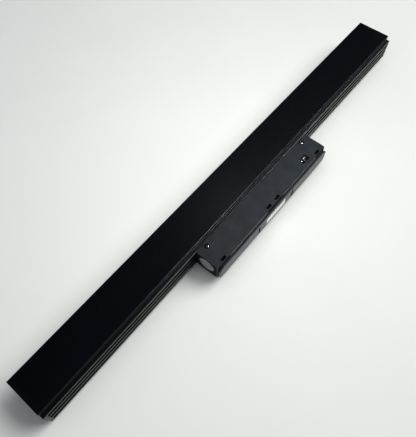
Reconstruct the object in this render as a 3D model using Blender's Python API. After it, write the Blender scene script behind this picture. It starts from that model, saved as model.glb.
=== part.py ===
"""Linear LED track light: a stepped aluminium lamp bar with a snap-in diffuser,
and a track adapter box with a magnet and two sprung contacts, lying on its side.

Frame: X along the bar, +Y towards the diffuser, -Y towards the track, +Z up out
of the broad side that the lamp doesn't lie on. The floor is Z = 0. Metres.
"""
import math

import bmesh
import bpy
from mathutils import Vector

# Clearances
GAP = 0.0003                  # between pieces that touch or seat
HOLE_CLEARANCE = 0.0003       # radial, round a screw's shank

# Lamp bar
LENGTH = 0.6000               # over both end caps
BODY_THICKNESS = 0.0378       # across the broad faces
BODY_DEPTH = 0.0424           # from the step to the diffuser side
BACK_THICKNESS = 0.0261       # the stepped-down back section
BACK_DEPTH = 0.0040
GROOVE_COUNT = 3
LAND_WIDTH = 0.0030           # each fin's outer face
GROOVE_DEPTH = 0.0030
BODY_WALL = 0.0022
SHOULDER = 0.0015             # wall behind the step
WEB = 0.0020                  # the wall that carries the LED boards
CHANNEL_DEPTH = 0.0220        # from the open side to the web
EDGE_RADIUS = 0.0005
BOSS = 0.0062                 # square screw bosses in the rear hollow

# Diffuser
DIFFUSER_THICKNESS = 0.0016
LEG_THICKNESS = 0.0012
LEG_LENGTH = 0.0055
CLIP_START = 0.0026           # the clip groove's near edge, from the open side
CLIP_WIDTH = 0.0016
CLIP_DEPTH = 0.0008

# LED boards
BOARD_THICKNESS = 0.0016
BOARD_WIDTH = 0.0200
BOARD_SPACING = 0.0100        # between the two boards, over the lead hole
BOARD_END = 0.0030            # from a board to its end cap
LED_COUNT = 30                # on each board
LED_SIZE = (0.0035, 0.0007, 0.0028)
LED_SINK = 0.0002
BOARD_SCREW_PITCHES = 4       # a board's screws, in LED pitches from its ends

# End caps
CAP_THICKNESS = 0.0037
CAP_COUNTERBORE = 0.0024
TONGUE_LENGTH = 0.0035
TONGUE_DEPTH = 0.0070

# Screws: head radius, head height, shank radius
CAP_SCREW = (0.0027, 0.0018, 0.00125)
BRACKET_SCREW = (0.0027, 0.0018, 0.00125)
SIDE_SCREW = (0.0021, 0.0012, 0.00120)
BOARD_SCREW = (0.0022, 0.0014, 0.00110)
DRIVER_SCREW = (0.0018, 0.0012, 0.00080)
COUNTERBORE_CLEARANCE = 0.0005

# Adapter, with depths measured out from the bar's back face
ADAPTER_LENGTH = 0.1954
ADAPTER_DEPTH = 0.0318        # to the lid's outer face
ADAPTER_WALL = 0.0020
LID_RISE = 0.0027             # from the housing's rim to the lid's outer face
FLOOR_DEPTH = 0.0083          # the housing's floor, which divides it
FLOOR_THICKNESS = 0.0020
END_RADIUS = 0.0025
RIM_STEP = 0.0008             # how far the rim drops beside the snap windows
RIM_STEP_CENTRE = 0.0280
RIM_STEP_END = 0.0199
SIDE_SCREW_X = 0.0853
SIDE_SCREW_DEPTH = 0.0043
SIDE_COUNTERBORE = 0.0015
SIDE_CLEARANCE = 0.0009

# Lid
LID_WIDTH = 0.0190            # the raised track face
LID_RADIUS = 0.0050
LID_CHAMFER = 0.0005
LID_PLATE = 0.0020
SNAP_X = (0.00745, 0.08535)
SNAP_WIDTH = 0.0072
SNAP_FROM_RIM = 0.0018        # from the housing's rim to a window
SNAP_HEIGHT = 0.0033
HOOK_THICKNESS = 0.0015
HOOK_REACH = 0.0013
HOOK_MARGIN = 0.0004

# Magnet and its carrier
CARRIER_LENGTH = 0.0588
CARRIER_WIDTH = 0.0126
CARRIER_FLANGE = 0.0023
CARRIER_FLANGE_THICKNESS = 0.0012
PRY_SLOT = 0.0020
MAGNET_SIZE = (0.0340, 0.0040, 0.0100)
YOKE_LENGTH = 0.0400
YOKE_THICKNESS = 0.0012

# Driver board and what stands on it
DRIVER_LENGTH = 0.1640
DRIVER_WIDTH = 0.0204
STANDOFF = 0.0011
STANDOFF_RADIUS = 0.0025
DRIVER_SCREW_X = 0.0790
TERMINAL_SIZE = (0.0120, 0.0080, 0.0100)
TERMINAL_X = -0.0180

# Sprung contacts
CONTACT_X = 0.0680
CONTACT_FROM_RIM = 0.00915    # from the housing's rim to a contact's middle
CONTACT_WINDOW = (0.0111, 0.0073)
CONTACT_SIZE = (0.0096, 0.0056)
CONTACT_PROUD = 0.0013
CONTACT_TRAVEL = 0.0013
CONTACT_STRIP = 0.0006
SHOULDER_LENGTH = 0.0126
SHOULDER_THICKNESS = 0.0008
SHOULDER_DROP = 0.0003        # below the housing wall's inner face
CONTACT_BLOCK_WALL = 0.0013
WELL_FLOOR = 0.0008           # half of the wall between the two wells
SPRING_RADIUS = 0.0017
SPRING_WIRE = 0.00025
SPRING_TURNS = 5

# Brackets between the bar and the adapter
BRACKET_LENGTH = 0.0196
BRACKET_THICKNESS = 0.0015
BRACKET_HEIGHT = 0.0076
BRACKET_SCREW_SPACING = 0.0110

# Leads and grommet
LEAD_RADIUS = 0.0007
LEAD_OFFSET = 0.0016
GROMMET_WALL = 0.0010
GROMMET_BORE = 0.0032
GROMMET_FLANGE = 0.0012
LEAD_HOLE = 0.0040

# Round blank label on the adapter's near end
LABEL_RADIUS = 0.0095
LABEL_THICKNESS = 0.0003
LABEL_RECESS = 0.0006
LABEL_DEPTH = 0.01375
LABEL_RISE = 0.0013           # above the mid plane

# Places that follow from the sizes above
TOTAL_DEPTH = BODY_DEPTH + BACK_DEPTH + ADAPTER_DEPTH
Y_FRONT = TOTAL_DEPTH / 2
Y_STEP = Y_FRONT - BODY_DEPTH
Y_BACK = Y_STEP - BACK_DEPTH
Y_CHANNEL = Y_FRONT - CHANNEL_DEPTH
Y_HOLLOW = Y_STEP + SHOULDER
MID = BODY_THICKNESS / 2
HALF_BODY = BODY_THICKNESS / 2
HALF_BACK = BACK_THICKNESS / 2
HALF_CHANNEL = HALF_BODY - BODY_WALL
PROFILE_END = LENGTH / 2 - CAP_THICKNESS - GAP
BOSS_Y = Y_HOLLOW + BOSS / 2
BOSS_Z = HALF_CHANNEL - BOSS / 2
BOARD_TOP = Y_CHANNEL + GAP + BOARD_THICKNESS
INNER_HALF = HALF_BACK - ADAPTER_WALL          # inside the adapter's side walls
DRIVER_BACK = FLOOR_DEPTH + FLOOR_THICKNESS + STANDOFF + GAP
DRIVER_TOP = DRIVER_BACK + BOARD_THICKNESS
RIM_DEPTH = ADAPTER_DEPTH - LID_RISE           # the housing's own rim
CONTACT_DEPTH = RIM_DEPTH - CONTACT_FROM_RIM
SNAP_FAR = RIM_DEPTH - SNAP_FROM_RIM           # a snap window's two edges
SNAP_NEAR = SNAP_FAR - SNAP_HEIGHT
LONG = 0.01                                    # how far a cutter runs past its wall

for item in list(bpy.data.objects):
    bpy.data.objects.remove(item, do_unlink=True)


def material(name, color, roughness, metallic=0.0):
    """A Principled material, made once."""
    found = bpy.data.materials.get(name)
    if found:
        return found
    made = bpy.data.materials.new(name)
    made.use_nodes = True
    shader = made.node_tree.nodes["Principled BSDF"]
    shader.inputs["Base Color"].default_value = (*color, 1.0)
    shader.inputs["Roughness"].default_value = roughness
    shader.inputs["Metallic"].default_value = metallic
    return made


BLACK_ANODISED = material("black_anodised", (0.012, 0.013, 0.016), 0.45, 0.6)
BLACK_PLASTIC = material("black_plastic", (0.030, 0.033, 0.036), 0.55)
CAP_PLASTIC = material("cap_plastic", (0.015, 0.016, 0.018), 0.45)
OPAL = material("opal_diffuser", (0.85, 0.86, 0.84), 0.40)
BOARD_WHITE = material("led_board_white", (0.80, 0.80, 0.78), 0.50)
BOARD_GREEN = material("driver_board_green", (0.02, 0.14, 0.06), 0.45)
STEEL = material("zinc_steel", (0.62, 0.62, 0.60), 0.30, 1.0)
NICKEL = material("nickel_plate", (0.80, 0.79, 0.76), 0.18, 1.0)
COPPER_ALLOY = material("contact_alloy", (0.78, 0.70, 0.52), 0.22, 1.0)
RUBBER = material("black_rubber", (0.02, 0.02, 0.02), 0.80)
RED_LEAD = material("red_insulation", (0.45, 0.02, 0.02), 0.45)
BLACK_LEAD = material("black_insulation", (0.02, 0.02, 0.02), 0.45)
COMPONENT_BLACK = material("component_black", (0.02, 0.02, 0.022), 0.50)
CAPACITOR_SLEEVE = material("capacitor_sleeve", (0.03, 0.05, 0.12), 0.40)
FERRITE = material("ferrite", (0.08, 0.08, 0.08), 0.70)
CREAM_PLASTIC = material("cream_plastic", (0.62, 0.60, 0.52), 0.50)
LABEL_GREY = material("label_grey", (0.45, 0.46, 0.45), 0.60)


def finish(item, look, smooth=False):
    """Give a piece its material, and smooth shading where it is round."""
    item.data.materials.append(look)
    if smooth:
        item.data.shade_smooth()
        item.data.set_sharp_from_angle(angle=math.radians(35))
    return item


def add_mesh(name, mesh, at=(0.0, 0.0, 0.0)):
    data = bpy.data.meshes.new(name)
    bmesh.ops.recalc_face_normals(mesh, faces=mesh.faces)
    mesh.to_mesh(data)
    mesh.free()
    item = bpy.data.objects.new(name, data)
    item.location = at
    bpy.context.scene.collection.objects.link(item)
    return item


def lift(axis, u, v, along):
    """A point of an outline drawn across an axis, at a distance along it."""
    return {"X": (along, u, v), "Y": (u, along, v), "Z": (u, v, along)}[axis]


def extrude_outline(mesh, outline, axis, low, high):
    start = [mesh.verts.new(lift(axis, u, v, low)) for u, v in outline]
    face = mesh.faces.new(start)
    made = bmesh.ops.extrude_face_region(mesh, geom=[face])
    moved = [part for part in made["geom"] if isinstance(part, bmesh.types.BMVert)]
    bmesh.ops.translate(mesh, verts=moved, vec=lift(axis, 0.0, 0.0, high - low))


def prism(name, outline, axis, low, high, at=(0.0, 0.0, 0.0)):
    """An outline drawn across an axis, extruded from low to high along it."""
    mesh = bmesh.new()
    extrude_outline(mesh, outline, axis, low, high)
    return add_mesh(name, mesh, at)


def rectangle(u, v):
    return [(u[0], v[0]), (u[1], v[0]), (u[1], v[1]), (u[0], v[1])]


def blocks(name, boxes, at=(0.0, 0.0, 0.0)):
    """One mesh of rectangular blocks, each given by its X, Y and Z ranges."""
    mesh = bmesh.new()
    for x, y, z in boxes:
        extrude_outline(mesh, rectangle(x, y), "Z", z[0], z[1])
    return add_mesh(name, mesh, at)


def around(centre, size):
    return (centre - size / 2, centre + size / 2)


def circle(u, v, radius, steps=24):
    turns = [math.tau * step / steps for step in range(steps)]
    return [(u + radius * math.cos(turn), v + radius * math.sin(turn)) for turn in turns]


def cylinders(name, centres, radius, axis, low, high, steps=24):
    """One mesh of equal round rods along an axis."""
    mesh = bmesh.new()
    for u, v in centres:
        extrude_outline(mesh, circle(u, v, radius, steps), axis, low, high)
    return add_mesh(name, mesh)


def eased(corners, steps=3):
    """An outline from (u, v, radius) corners, rounded where the radius isn't 0."""
    points = []
    for index, (u, v, radius) in enumerate(corners):
        if radius == 0:
            points.append((u, v))
            continue
        here = Vector((u, v))
        before = (Vector(corners[index - 1][:2]) - here).normalized()
        after = (Vector(corners[(index + 1) % len(corners)][:2]) - here).normalized()
        centre = here + (before + after) * radius
        for step in range(steps + 1):
            turn = math.pi / 2 * step / steps
            offset = -after * math.cos(turn) - before * math.sin(turn)
            points.append(tuple(centre + offset * radius))
    return points


def rounded_box_outline(half_u, half_v, radius, steps=6):
    corners = [(half_u, half_v), (-half_u, half_v), (-half_u, -half_v), (half_u, -half_v)]
    return eased([(u, v, radius) for u, v in corners], steps)


def turned(name, profile, at, direction, steps=12):
    """A round piece from (radius, height) points, its axis along direction."""
    mesh = bmesh.new()
    rings = []
    for radius, height in profile:
        if radius == 0:
            rings.append([mesh.verts.new((0.0, 0.0, height))])
        else:
            rings.append([mesh.verts.new((u, v, height)) for u, v in circle(0, 0, radius, steps)])
    for low, high in zip(rings, rings[1:]):
        for step in range(steps):
            after = (step + 1) % steps
            corners = [low[step % len(low)], low[after % len(low)]]
            corners += [high[after % len(high)], high[step % len(high)]]
            mesh.faces.new(list(dict.fromkeys(corners)))
    bmesh.ops.remove_doubles(mesh, verts=mesh.verts, dist=1e-7)
    item = add_mesh(name, mesh, at)
    item.rotation_mode = "QUATERNION"
    item.rotation_quaternion = Vector((0, 0, 1)).rotation_difference(Vector(direction))
    return item


def soften(item, width, segments=2, angle=40):
    bevel = item.modifiers.new("Edges", "BEVEL")
    bevel.width = width
    bevel.segments = segments
    bevel.limit_method = "ANGLE"
    bevel.angle_limit = math.radians(angle)
    bevel.harden_normals = False


def combine(target, tool, operation):
    tool.hide_render = True
    tool.display_type = "WIRE"
    boolean = target.modifiers.new(tool.name, "BOOLEAN")
    boolean.object = tool
    boolean.operation = operation
    boolean.solver = "EXACT"


def cut(target, *tools):
    for tool in tools:
        combine(target, tool, "DIFFERENCE")


def join(target, *tools):
    for tool in tools:
        combine(target, tool, "UNION")


def out(depth):
    """The Y of a depth measured out from the bar's back face."""
    return Y_BACK - depth


def pan_screw(name, size, length, seat, direction, look):
    """A pan-head screw: its head's underside is at seat, its shank runs opposite
    to direction, and a cross recess is cut into its head."""
    head, height, shank = size
    profile = [(0, -length), (shank * 0.5, -length), (shank, -length + shank * 0.5), (shank, 0)]
    profile += [(head, 0), (head, height * 0.55), (head * 0.78, height * 0.9)]
    profile += [(head * 0.45, height), (0, height)]
    screw = turned(name, profile, seat, direction)
    slot = (head * 0.62, head * 0.17)
    floor = (height * 0.5, height * 2)
    arms = [(slot[0], slot[1]), (slot[1], slot[1]), (slot[1], slot[0])]
    quarter = arms + [(-v, u) for u, v in arms] + [(-u, -v) for u, v in arms]
    outline = quarter + [(v, -u) for u, v in arms]
    recess = prism(name + "_recess", outline, "Z", floor[0], floor[1], seat)
    recess.rotation_mode = "QUATERNION"
    recess.rotation_quaternion = screw.rotation_quaternion
    cut(screw, recess)
    return finish(screw, look, smooth=True)


def lamp_extrusion():
    """The stepped profile, finned at the back and open at the front, with a
    closed hollow behind its web and two screw bosses in that hollow."""
    half, back = HALF_BODY, HALF_BACK
    pitch = (BACK_THICKNESS - LAND_WIDTH) / GROOVE_COUNT
    corners = [(Y_FRONT, half, EDGE_RADIUS), (Y_STEP, half, EDGE_RADIUS), (Y_STEP, back, 0)]
    corners.append((Y_BACK, back, 0))
    for index in range(GROOVE_COUNT):
        top = back - LAND_WIDTH - index * pitch
        bottom = top - (pitch - LAND_WIDTH)
        corners += [(Y_BACK, top, 0), (Y_BACK + GROOVE_DEPTH, top, 0)]
        corners += [(Y_BACK + GROOVE_DEPTH, bottom, 0), (Y_BACK, bottom, 0)]
    corners += [(Y_BACK, -back, 0), (Y_STEP, -back, 0), (Y_STEP, -half, EDGE_RADIUS)]
    corners.append((Y_FRONT, -half, EDGE_RADIUS))
    clip = (Y_FRONT - CLIP_START, Y_FRONT - CLIP_START - CLIP_WIDTH)
    side = [(Y_FRONT, HALF_CHANNEL), (clip[0], HALF_CHANNEL), (clip[0], HALF_CHANNEL + CLIP_DEPTH)]
    side += [(clip[1], HALF_CHANNEL + CLIP_DEPTH), (clip[1], HALF_CHANNEL), (Y_CHANNEL, HALF_CHANNEL)]
    corners += [(y, -z, 0) for y, z in side] + [(y, z, 0) for y, z in reversed(side)]
    bar = prism("lamp_extrusion", eased(corners), "X", -PROFILE_END, PROFILE_END, (0, 0, MID))

    low, high, wide = Y_HOLLOW, Y_CHANNEL - WEB, HALF_CHANNEL
    hollow = [(high, -wide), (high, wide), (low + BOSS, wide), (low + BOSS, wide - BOSS)]
    hollow += [(low, wide - BOSS), (low, BOSS - wide), (low + BOSS, BOSS - wide), (low + BOSS, -wide)]
    reach = PROFILE_END + LONG
    cut(bar, prism("hollow_cutter", hollow, "X", -reach, reach, (0, 0, MID)))
    bores = [(BOSS_Y, MID + BOSS_Z), (BOSS_Y, MID - BOSS_Z)]
    radius = CAP_SCREW[2] + HOLE_CLEARANCE
    cut(bar, cylinders("boss_cutter", bores, radius, "X", -reach, reach, 16))

    grommet = GROMMET_BORE + GROMMET_WALL + GAP
    cut(bar, cylinders("grommet_cutter", [(0, MID)], grommet, "Y", Y_BACK - LONG, Y_HOLLOW + GAP))
    web_span = (Y_CHANNEL - WEB - GAP, Y_CHANNEL + GAP)
    cut(bar, cylinders("lead_hole_cutter", [(0, MID)], LEAD_HOLE, "Y", *web_span))
    radius = BOARD_SCREW[2] + HOLE_CLEARANCE
    holes = [(x, MID) for x in board_screw_places()]
    cut(bar, cylinders("board_hole_cutter", holes, radius, "Y", *web_span, 12))
    radius = BRACKET_SCREW[2] + HOLE_CLEARANCE
    holes = [(x, MID) for x in bracket_screw_places()]
    wall = (Y_BACK + GROOVE_DEPTH - GAP, Y_HOLLOW + GAP)
    cut(bar, cylinders("bracket_hole_cutter", holes, radius, "Y", *wall, 12))
    finish(bar, BLACK_ANODISED)


def diffuser():
    """A U-shaped opal cover whose legs clip into the profile's two grooves."""
    wide, leg = HALF_CHANNEL - GAP, HALF_CHANNEL - GAP - LEG_THICKNESS
    catch = HALF_CHANNEL + CLIP_DEPTH - GAP
    near, far = Y_FRONT - CLIP_START - GAP, Y_FRONT - CLIP_START - CLIP_WIDTH + GAP
    side = [(Y_FRONT, wide), (near, wide), (near, catch), (far, wide)]
    side += [(Y_FRONT - LEG_LENGTH, wide), (Y_FRONT - LEG_LENGTH, leg)]
    side.append((Y_FRONT - DIFFUSER_THICKNESS, leg))
    outline = side + [(y, -z) for y, z in reversed(side)]
    end = PROFILE_END - GAP
    finish(prism("diffuser", outline, "X", -end, end, (0, 0, MID)), OPAL)


def board_span(side):
    """The X range of the LED board on one side of the middle."""
    ends = (BOARD_SPACING / 2, PROFILE_END - BOARD_END)
    return tuple(sorted(side * end for end in ends))


def board_screw_places():
    places = []
    for side in (-1, 1):
        low, high = board_span(side)
        pitch = (high - low) / LED_COUNT
        places += [low + BOARD_SCREW_PITCHES * pitch, high - BOARD_SCREW_PITCHES * pitch]
    return places


def led_boards():
    """Two boards end to end on the web, each with a row of LED packages."""
    length, height, width = LED_SIZE
    for side, word in ((-1, "near"), (1, "far")):
        low, high = board_span(side)
        pitch = (high - low) / LED_COUNT
        z = around(MID, BOARD_WIDTH)
        board = blocks("led_board_" + word, [((low, high), (Y_CHANNEL + GAP, BOARD_TOP), z)])
        centres = [low + (index + 0.5) * pitch for index in range(LED_COUNT)]
        y = (BOARD_TOP - LED_SINK, BOARD_TOP + height)
        packages = [(around(x, length), y, around(MID, width)) for x in centres]
        join(board, blocks("led_row_" + word, packages))
        holes = [(x, MID) for x in board_screw_places() if low < x < high]
        radius = BOARD_SCREW[2] + HOLE_CLEARANCE
        span = (Y_CHANNEL - GAP, BOARD_TOP + GAP)
        cut(board, cylinders("board_cutter_" + word, holes, radius, "Y", *span, 12))
        finish(board, BOARD_WHITE)
    for index, x in enumerate(board_screw_places(), 1):
        seat = (x, BOARD_TOP + GAP, MID)
        length = BOARD_THICKNESS + WEB + 3 * GAP
        pan_screw(f"board_screw_{index}", BOARD_SCREW, length, seat, (0, 1, 0), STEEL)
    reach = BOARD_SPACING / 2 + 0.0025
    span = (BOARD_TOP + GAP, BOARD_TOP + GAP + 0.0012)
    link = blocks("board_link", [((-reach, reach), span, around(MID + 0.0066, 0.0036))])
    finish(link, CREAM_PLASTIC)


def end_caps():
    """Stepped plates that close the profile, each with a tongue in its channel
    and two screws sunk into it."""
    corners = [(Y_FRONT, HALF_BODY, EDGE_RADIUS), (Y_STEP, HALF_BODY, EDGE_RADIUS)]
    corners += [(Y_STEP, HALF_BACK, 0), (Y_BACK, HALF_BACK, EDGE_RADIUS)]
    corners += [(y, -z, radius) for y, z, radius in reversed(corners)]
    head, height, shank = CAP_SCREW
    outer, inner = LENGTH / 2, LENGTH / 2 - CAP_THICKNESS
    tongue_y = around((Y_CHANNEL + Y_FRONT) / 2, TONGUE_DEPTH)
    tongue_z = around(MID, 2 * (HALF_CHANNEL - LEG_THICKNESS - 3 * GAP))
    places = [(BOSS_Y, MID + BOSS_Z), (BOSS_Y, MID - BOSS_Z)]
    for side, word in ((-1, "near"), (1, "far")):
        span = sorted((side * inner, side * outer))
        cap = prism("end_cap_" + word, eased(corners), "X", *span, (0, 0, MID))
        tongue_x = tuple(sorted((side * (inner - TONGUE_LENGTH), side * (inner + CAP_THICKNESS / 2))))
        join(cap, blocks("tongue_" + word, [(tongue_x, tongue_y, tongue_z)]))
        through = sorted((side * (inner - GAP), side * (outer + LONG)))
        cut(cap, cylinders("cap_hole_" + word, places, shank + HOLE_CLEARANCE, "X", *through, 16))
        sunk = sorted((side * (outer - CAP_COUNTERBORE), side * (outer + LONG)))
        wide = head + COUNTERBORE_CLEARANCE
        cut(cap, cylinders("cap_counterbore_" + word, places, wide, "X", *sunk, 20))
        finish(cap, CAP_PLASTIC)
        for index, (y, z) in enumerate(places, 1):
            seat = (side * (outer - CAP_COUNTERBORE + GAP), y, z)
            name = f"cap_screw_{word}_{index}"
            pan_screw(name, CAP_SCREW, 0.0080, seat, (side, 0, 0), STEEL)


def bracket_screw_places():
    return [side * SIDE_SCREW_X + offset for side in (-1, 1)
            for offset in around(0, BRACKET_SCREW_SPACING)]


def mount_brackets():
    """Steel channels on the bar's back, which the adapter is screwed to."""
    half = INNER_HALF - GAP
    low, high = GAP, GAP + BRACKET_HEIGHT
    inner, base = half - BRACKET_THICKNESS, GAP + BRACKET_THICKNESS
    outline = [(low, -half), (high, -half), (high, -inner), (base, -inner)]
    outline += [(base, inner), (high, inner), (high, half), (low, half)]
    outline = [(out(depth), z) for depth, z in outline]
    for side, word in ((-1, "near"), (1, "far")):
        x = around(side * SIDE_SCREW_X, BRACKET_LENGTH)
        bracket = prism("mount_bracket_" + word, outline, "X", *x, (0, 0, MID))
        holes = [(place, MID) for place in bracket_screw_places() if x[0] < place < x[1]]
        radius = BRACKET_SCREW[2] + HOLE_CLEARANCE
        span = (out(base + GAP), out(0))
        cut(bracket, cylinders("bracket_base_" + word, holes, radius, "Y", *span, 16))
        hole = [(side * SIDE_SCREW_X, out(SIDE_SCREW_DEPTH))]
        radius = SIDE_SCREW[2] + HOLE_CLEARANCE
        span = (MID - half - LONG, MID + half + LONG)
        cut(bracket, cylinders("bracket_side_" + word, hole, radius, "Z", *span, 16))
        finish(bracket, STEEL)
    for index, x in enumerate(bracket_screw_places(), 1):
        seat = (x, out(GAP + BRACKET_THICKNESS + GAP), MID)
        name = f"bracket_screw_{index}"
        pan_screw(name, BRACKET_SCREW, 0.0090, seat, (0, -1, 0), STEEL)


def adapter_housing():
    """The adapter's box: a floor divides it into a recess that takes the brackets
    and a bay for the electronics, and the lid snaps into windows in its sides."""
    end, inner = ADAPTER_LENGTH / 2, ADAPTER_LENGTH / 2 - ADAPTER_WALL
    corners = [(end, out(GAP), EDGE_RADIUS), (end, out(RIM_DEPTH), END_RADIUS)]
    corners += [(-x, y, radius) for x, y, radius in reversed(corners)]
    z = around(MID, BACK_THICKNESS)
    housing = prism("adapter_housing", eased(corners, 4), "Z", *z)
    soften(housing, 0.0004, 2, 60)
    floor = (FLOOR_DEPTH, FLOOR_DEPTH + FLOOR_THICKNESS)
    hollow_z = around(MID, 2 * INNER_HALF)
    recess = ((-inner, inner), (out(floor[0]), out(-LONG)), hollow_z)
    bay = ((-inner, inner), (out(RIM_DEPTH + LONG), out(floor[1])), hollow_z)
    cut(housing, blocks("housing_cutter", [recess, bay]))

    standoffs = [(side * DRIVER_SCREW_X, MID) for side in (-1, 1)]
    span = (out(floor[1] + STANDOFF), out(floor[1] - FLOOR_THICKNESS / 2))
    join(housing, cylinders("standoffs", standoffs, STANDOFF_RADIUS, "Y", *span, 16))
    span = (out(floor[1] + STANDOFF + GAP), out(floor[0] - GAP))
    radius = DRIVER_SCREW[2] + HOLE_CLEARANCE
    cut(housing, cylinders("standoff_cutter", standoffs, radius, "Y", *span, 12))
    span = (out(floor[1] + GAP), out(floor[0] - GAP))
    cut(housing, cylinders("floor_hole_cutter", [(0, MID)], LEAD_HOLE, "Y", *span))

    windows = []
    full_z = (z[0] - LONG, z[1] + LONG)
    for x in SNAP_X:
        for side in (-1, 1):
            windows.append((around(side * x, SNAP_WIDTH), (out(SNAP_FAR), out(SNAP_NEAR)), full_z))
    length, width = CONTACT_WINDOW
    windows.append((around(CONTACT_X, length), around(out(CONTACT_DEPTH), width), full_z))
    cut(housing, blocks("window_cutter", windows))

    drops = []
    drop_y = (out(RIM_DEPTH + LONG), out(RIM_DEPTH - RIM_STEP))
    spans = [around(0, RIM_STEP_CENTRE)]
    spans += [(end - RIM_STEP_END, end + LONG), (-end - LONG, -end + RIM_STEP_END)]
    for low, high in ((full_z[0], MID - INNER_HALF + GAP / 2), (MID + INNER_HALF - GAP / 2, full_z[1])):
        drops += [(x, drop_y, (low, high)) for x in spans]
    cut(housing, blocks("rim_cutter", drops))

    places = [(side * SIDE_SCREW_X, out(SIDE_SCREW_DEPTH)) for side in (-1, 1)]
    radius = SIDE_SCREW[2] + HOLE_CLEARANCE
    cut(housing, cylinders("side_hole_cutter", places, radius, "Z", *full_z, 16))
    wide = SIDE_SCREW[0] + SIDE_CLEARANCE
    for side, word in ((-1, "lower"), (1, "upper")):
        span = sorted((MID + side * (HALF_BACK - SIDE_COUNTERBORE), MID + side * (HALF_BACK + LONG)))
        cut(housing, cylinders("side_counterbore_" + word, places, wide, "Z", *span, 20))
    label = [(out(LABEL_DEPTH), MID + LABEL_RISE)]
    span = (-end - LONG, -end + LABEL_RECESS)
    cut(housing, cylinders("label_cutter", label, LABEL_RADIUS + GAP, "X", *span, 32))
    finish(housing, BLACK_PLASTIC)

    for side, word in ((1, "upper"), (-1, "lower")):
        for end_side, end_word in ((-1, "near"), (1, "far")):
            seat = MID + side * (HALF_BACK - SIDE_COUNTERBORE + GAP)
            at = (end_side * SIDE_SCREW_X, out(SIDE_SCREW_DEPTH), seat)
            name = f"side_screw_{word}_{end_word}"
            pan_screw(name, SIDE_SCREW, 0.0050, at, (0, 0, side), NICKEL)


def end_label():
    """A round blank label in a shallow recess of the adapter's near end."""
    low = -ADAPTER_LENGTH / 2 + LABEL_RECESS - GAP - LABEL_THICKNESS
    place = [(out(LABEL_DEPTH), MID + LABEL_RISE)]
    high = low + LABEL_THICKNESS
    finish(cylinders("end_label", place, LABEL_RADIUS, "X", low, high, 32), LABEL_GREY)


def adapter_lid():
    """The track-side cover: a plate inside the rim, a raised face with rounded
    ends, eight snap hooks, and a pocket for the magnet carrier."""
    end, inner = ADAPTER_LENGTH / 2, ADAPTER_LENGTH / 2 - ADAPTER_WALL - GAP
    half = INNER_HALF - GAP
    raised = rounded_box_outline(end, LID_WIDTH / 2, LID_RADIUS)
    lid = prism("adapter_lid", raised, "Y", out(ADAPTER_DEPTH), out(RIM_DEPTH + GAP), (0, 0, MID))
    soften(lid, LID_CHAMFER, 2, 60)
    plate = blocks("lid_plate", [
        ((-inner, inner), (out(RIM_DEPTH), out(RIM_DEPTH - LID_PLATE)), around(MID, 2 * half))])
    neck = blocks("lid_neck", [
        ((-inner + LID_RADIUS, inner - LID_RADIUS), (out(RIM_DEPTH + 2 * GAP), out(RIM_DEPTH - GAP)),
         around(MID, LID_WIDTH - 2 * LID_CHAMFER))])
    join(lid, plate, neck)

    plate_back = RIM_DEPTH - LID_PLATE
    catch, ramp, tip = SNAP_FAR - HOOK_MARGIN, SNAP_NEAR + HOOK_MARGIN, SNAP_NEAR - HOOK_MARGIN
    hook = [(plate_back + GAP, half - HOOK_THICKNESS), (plate_back + GAP, half), (catch, half)]
    hook += [(catch, half + GAP + HOOK_REACH), (ramp, half), (tip, half), (tip, half - HOOK_THICKNESS)]
    for index, x in enumerate(SNAP_X):
        for side in (-1, 1):
            for face in (-1, 1):
                outline = [(out(depth), face * z) for depth, z in hook]
                span = around(side * x, SNAP_WIDTH - 2 * HOOK_MARGIN)
                name = f"hook_{index}_{side}_{face}"
                join(lid, prism(name, outline, "X", *span, (0, 0, MID)))

    pocket = CARRIER_LENGTH + 2 * PRY_SLOT
    span = (out(ADAPTER_DEPTH + LONG), out(plate_back - GAP))
    box = (around(0, pocket), span, around(MID, CARRIER_WIDTH + 2 * GAP))
    cut(lid, blocks("pocket_cutter", [box]))
    finish(lid, BLACK_PLASTIC)


def magnet_set():
    """The carrier that fills the lid's pocket, the magnet flush in its face and
    the steel yoke behind the magnet."""
    plate_back = RIM_DEPTH - LID_PLATE
    flange = (plate_back - GAP - CARRIER_FLANGE_THICKNESS, plate_back - GAP)
    body = (around(0, CARRIER_LENGTH), (out(ADAPTER_DEPTH), out(flange[0])), around(MID, CARRIER_WIDTH))
    carrier = blocks("magnet_carrier", [body])
    length = CARRIER_LENGTH + 2 * (PRY_SLOT + CARRIER_FLANGE)
    width = CARRIER_WIDTH + 2 * CARRIER_FLANGE
    rim = (around(0, length), (out(flange[1]), out(flange[0])), around(MID, width))
    join(carrier, blocks("carrier_flange", [rim]))
    long, thick, wide = MAGNET_SIZE
    magnet_back = ADAPTER_DEPTH - thick
    z = around(MID, wide + 2 * GAP)
    window = (around(0, long + 2 * GAP), (out(ADAPTER_DEPTH + LONG), out(magnet_back - GAP)), z)
    cut(carrier, blocks("magnet_cutter", [window]))
    recess = (around(0, YOKE_LENGTH + 2 * GAP), (out(magnet_back), out(flange[0] - LONG)), z)
    cut(carrier, blocks("yoke_cutter", [recess]))
    finish(carrier, BLACK_PLASTIC)

    face = (around(0, long), (out(ADAPTER_DEPTH), out(magnet_back)), around(MID, wide))
    magnet = blocks("track_magnet", [face])
    soften(magnet, 0.0003, 1)
    finish(magnet, NICKEL)
    top = magnet_back - GAP
    span = (out(top), out(top - YOKE_THICKNESS))
    yoke = blocks("magnet_yoke", [(around(0, YOKE_LENGTH), span, around(MID, wide))])
    finish(yoke, STEEL)


def standing(x, z, size):
    """The block of a component that stands on the driver board."""
    length, height, width = size
    low = DRIVER_TOP + GAP
    return (around(x, length), (out(low + height), out(low)), around(MID + z, width))


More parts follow.
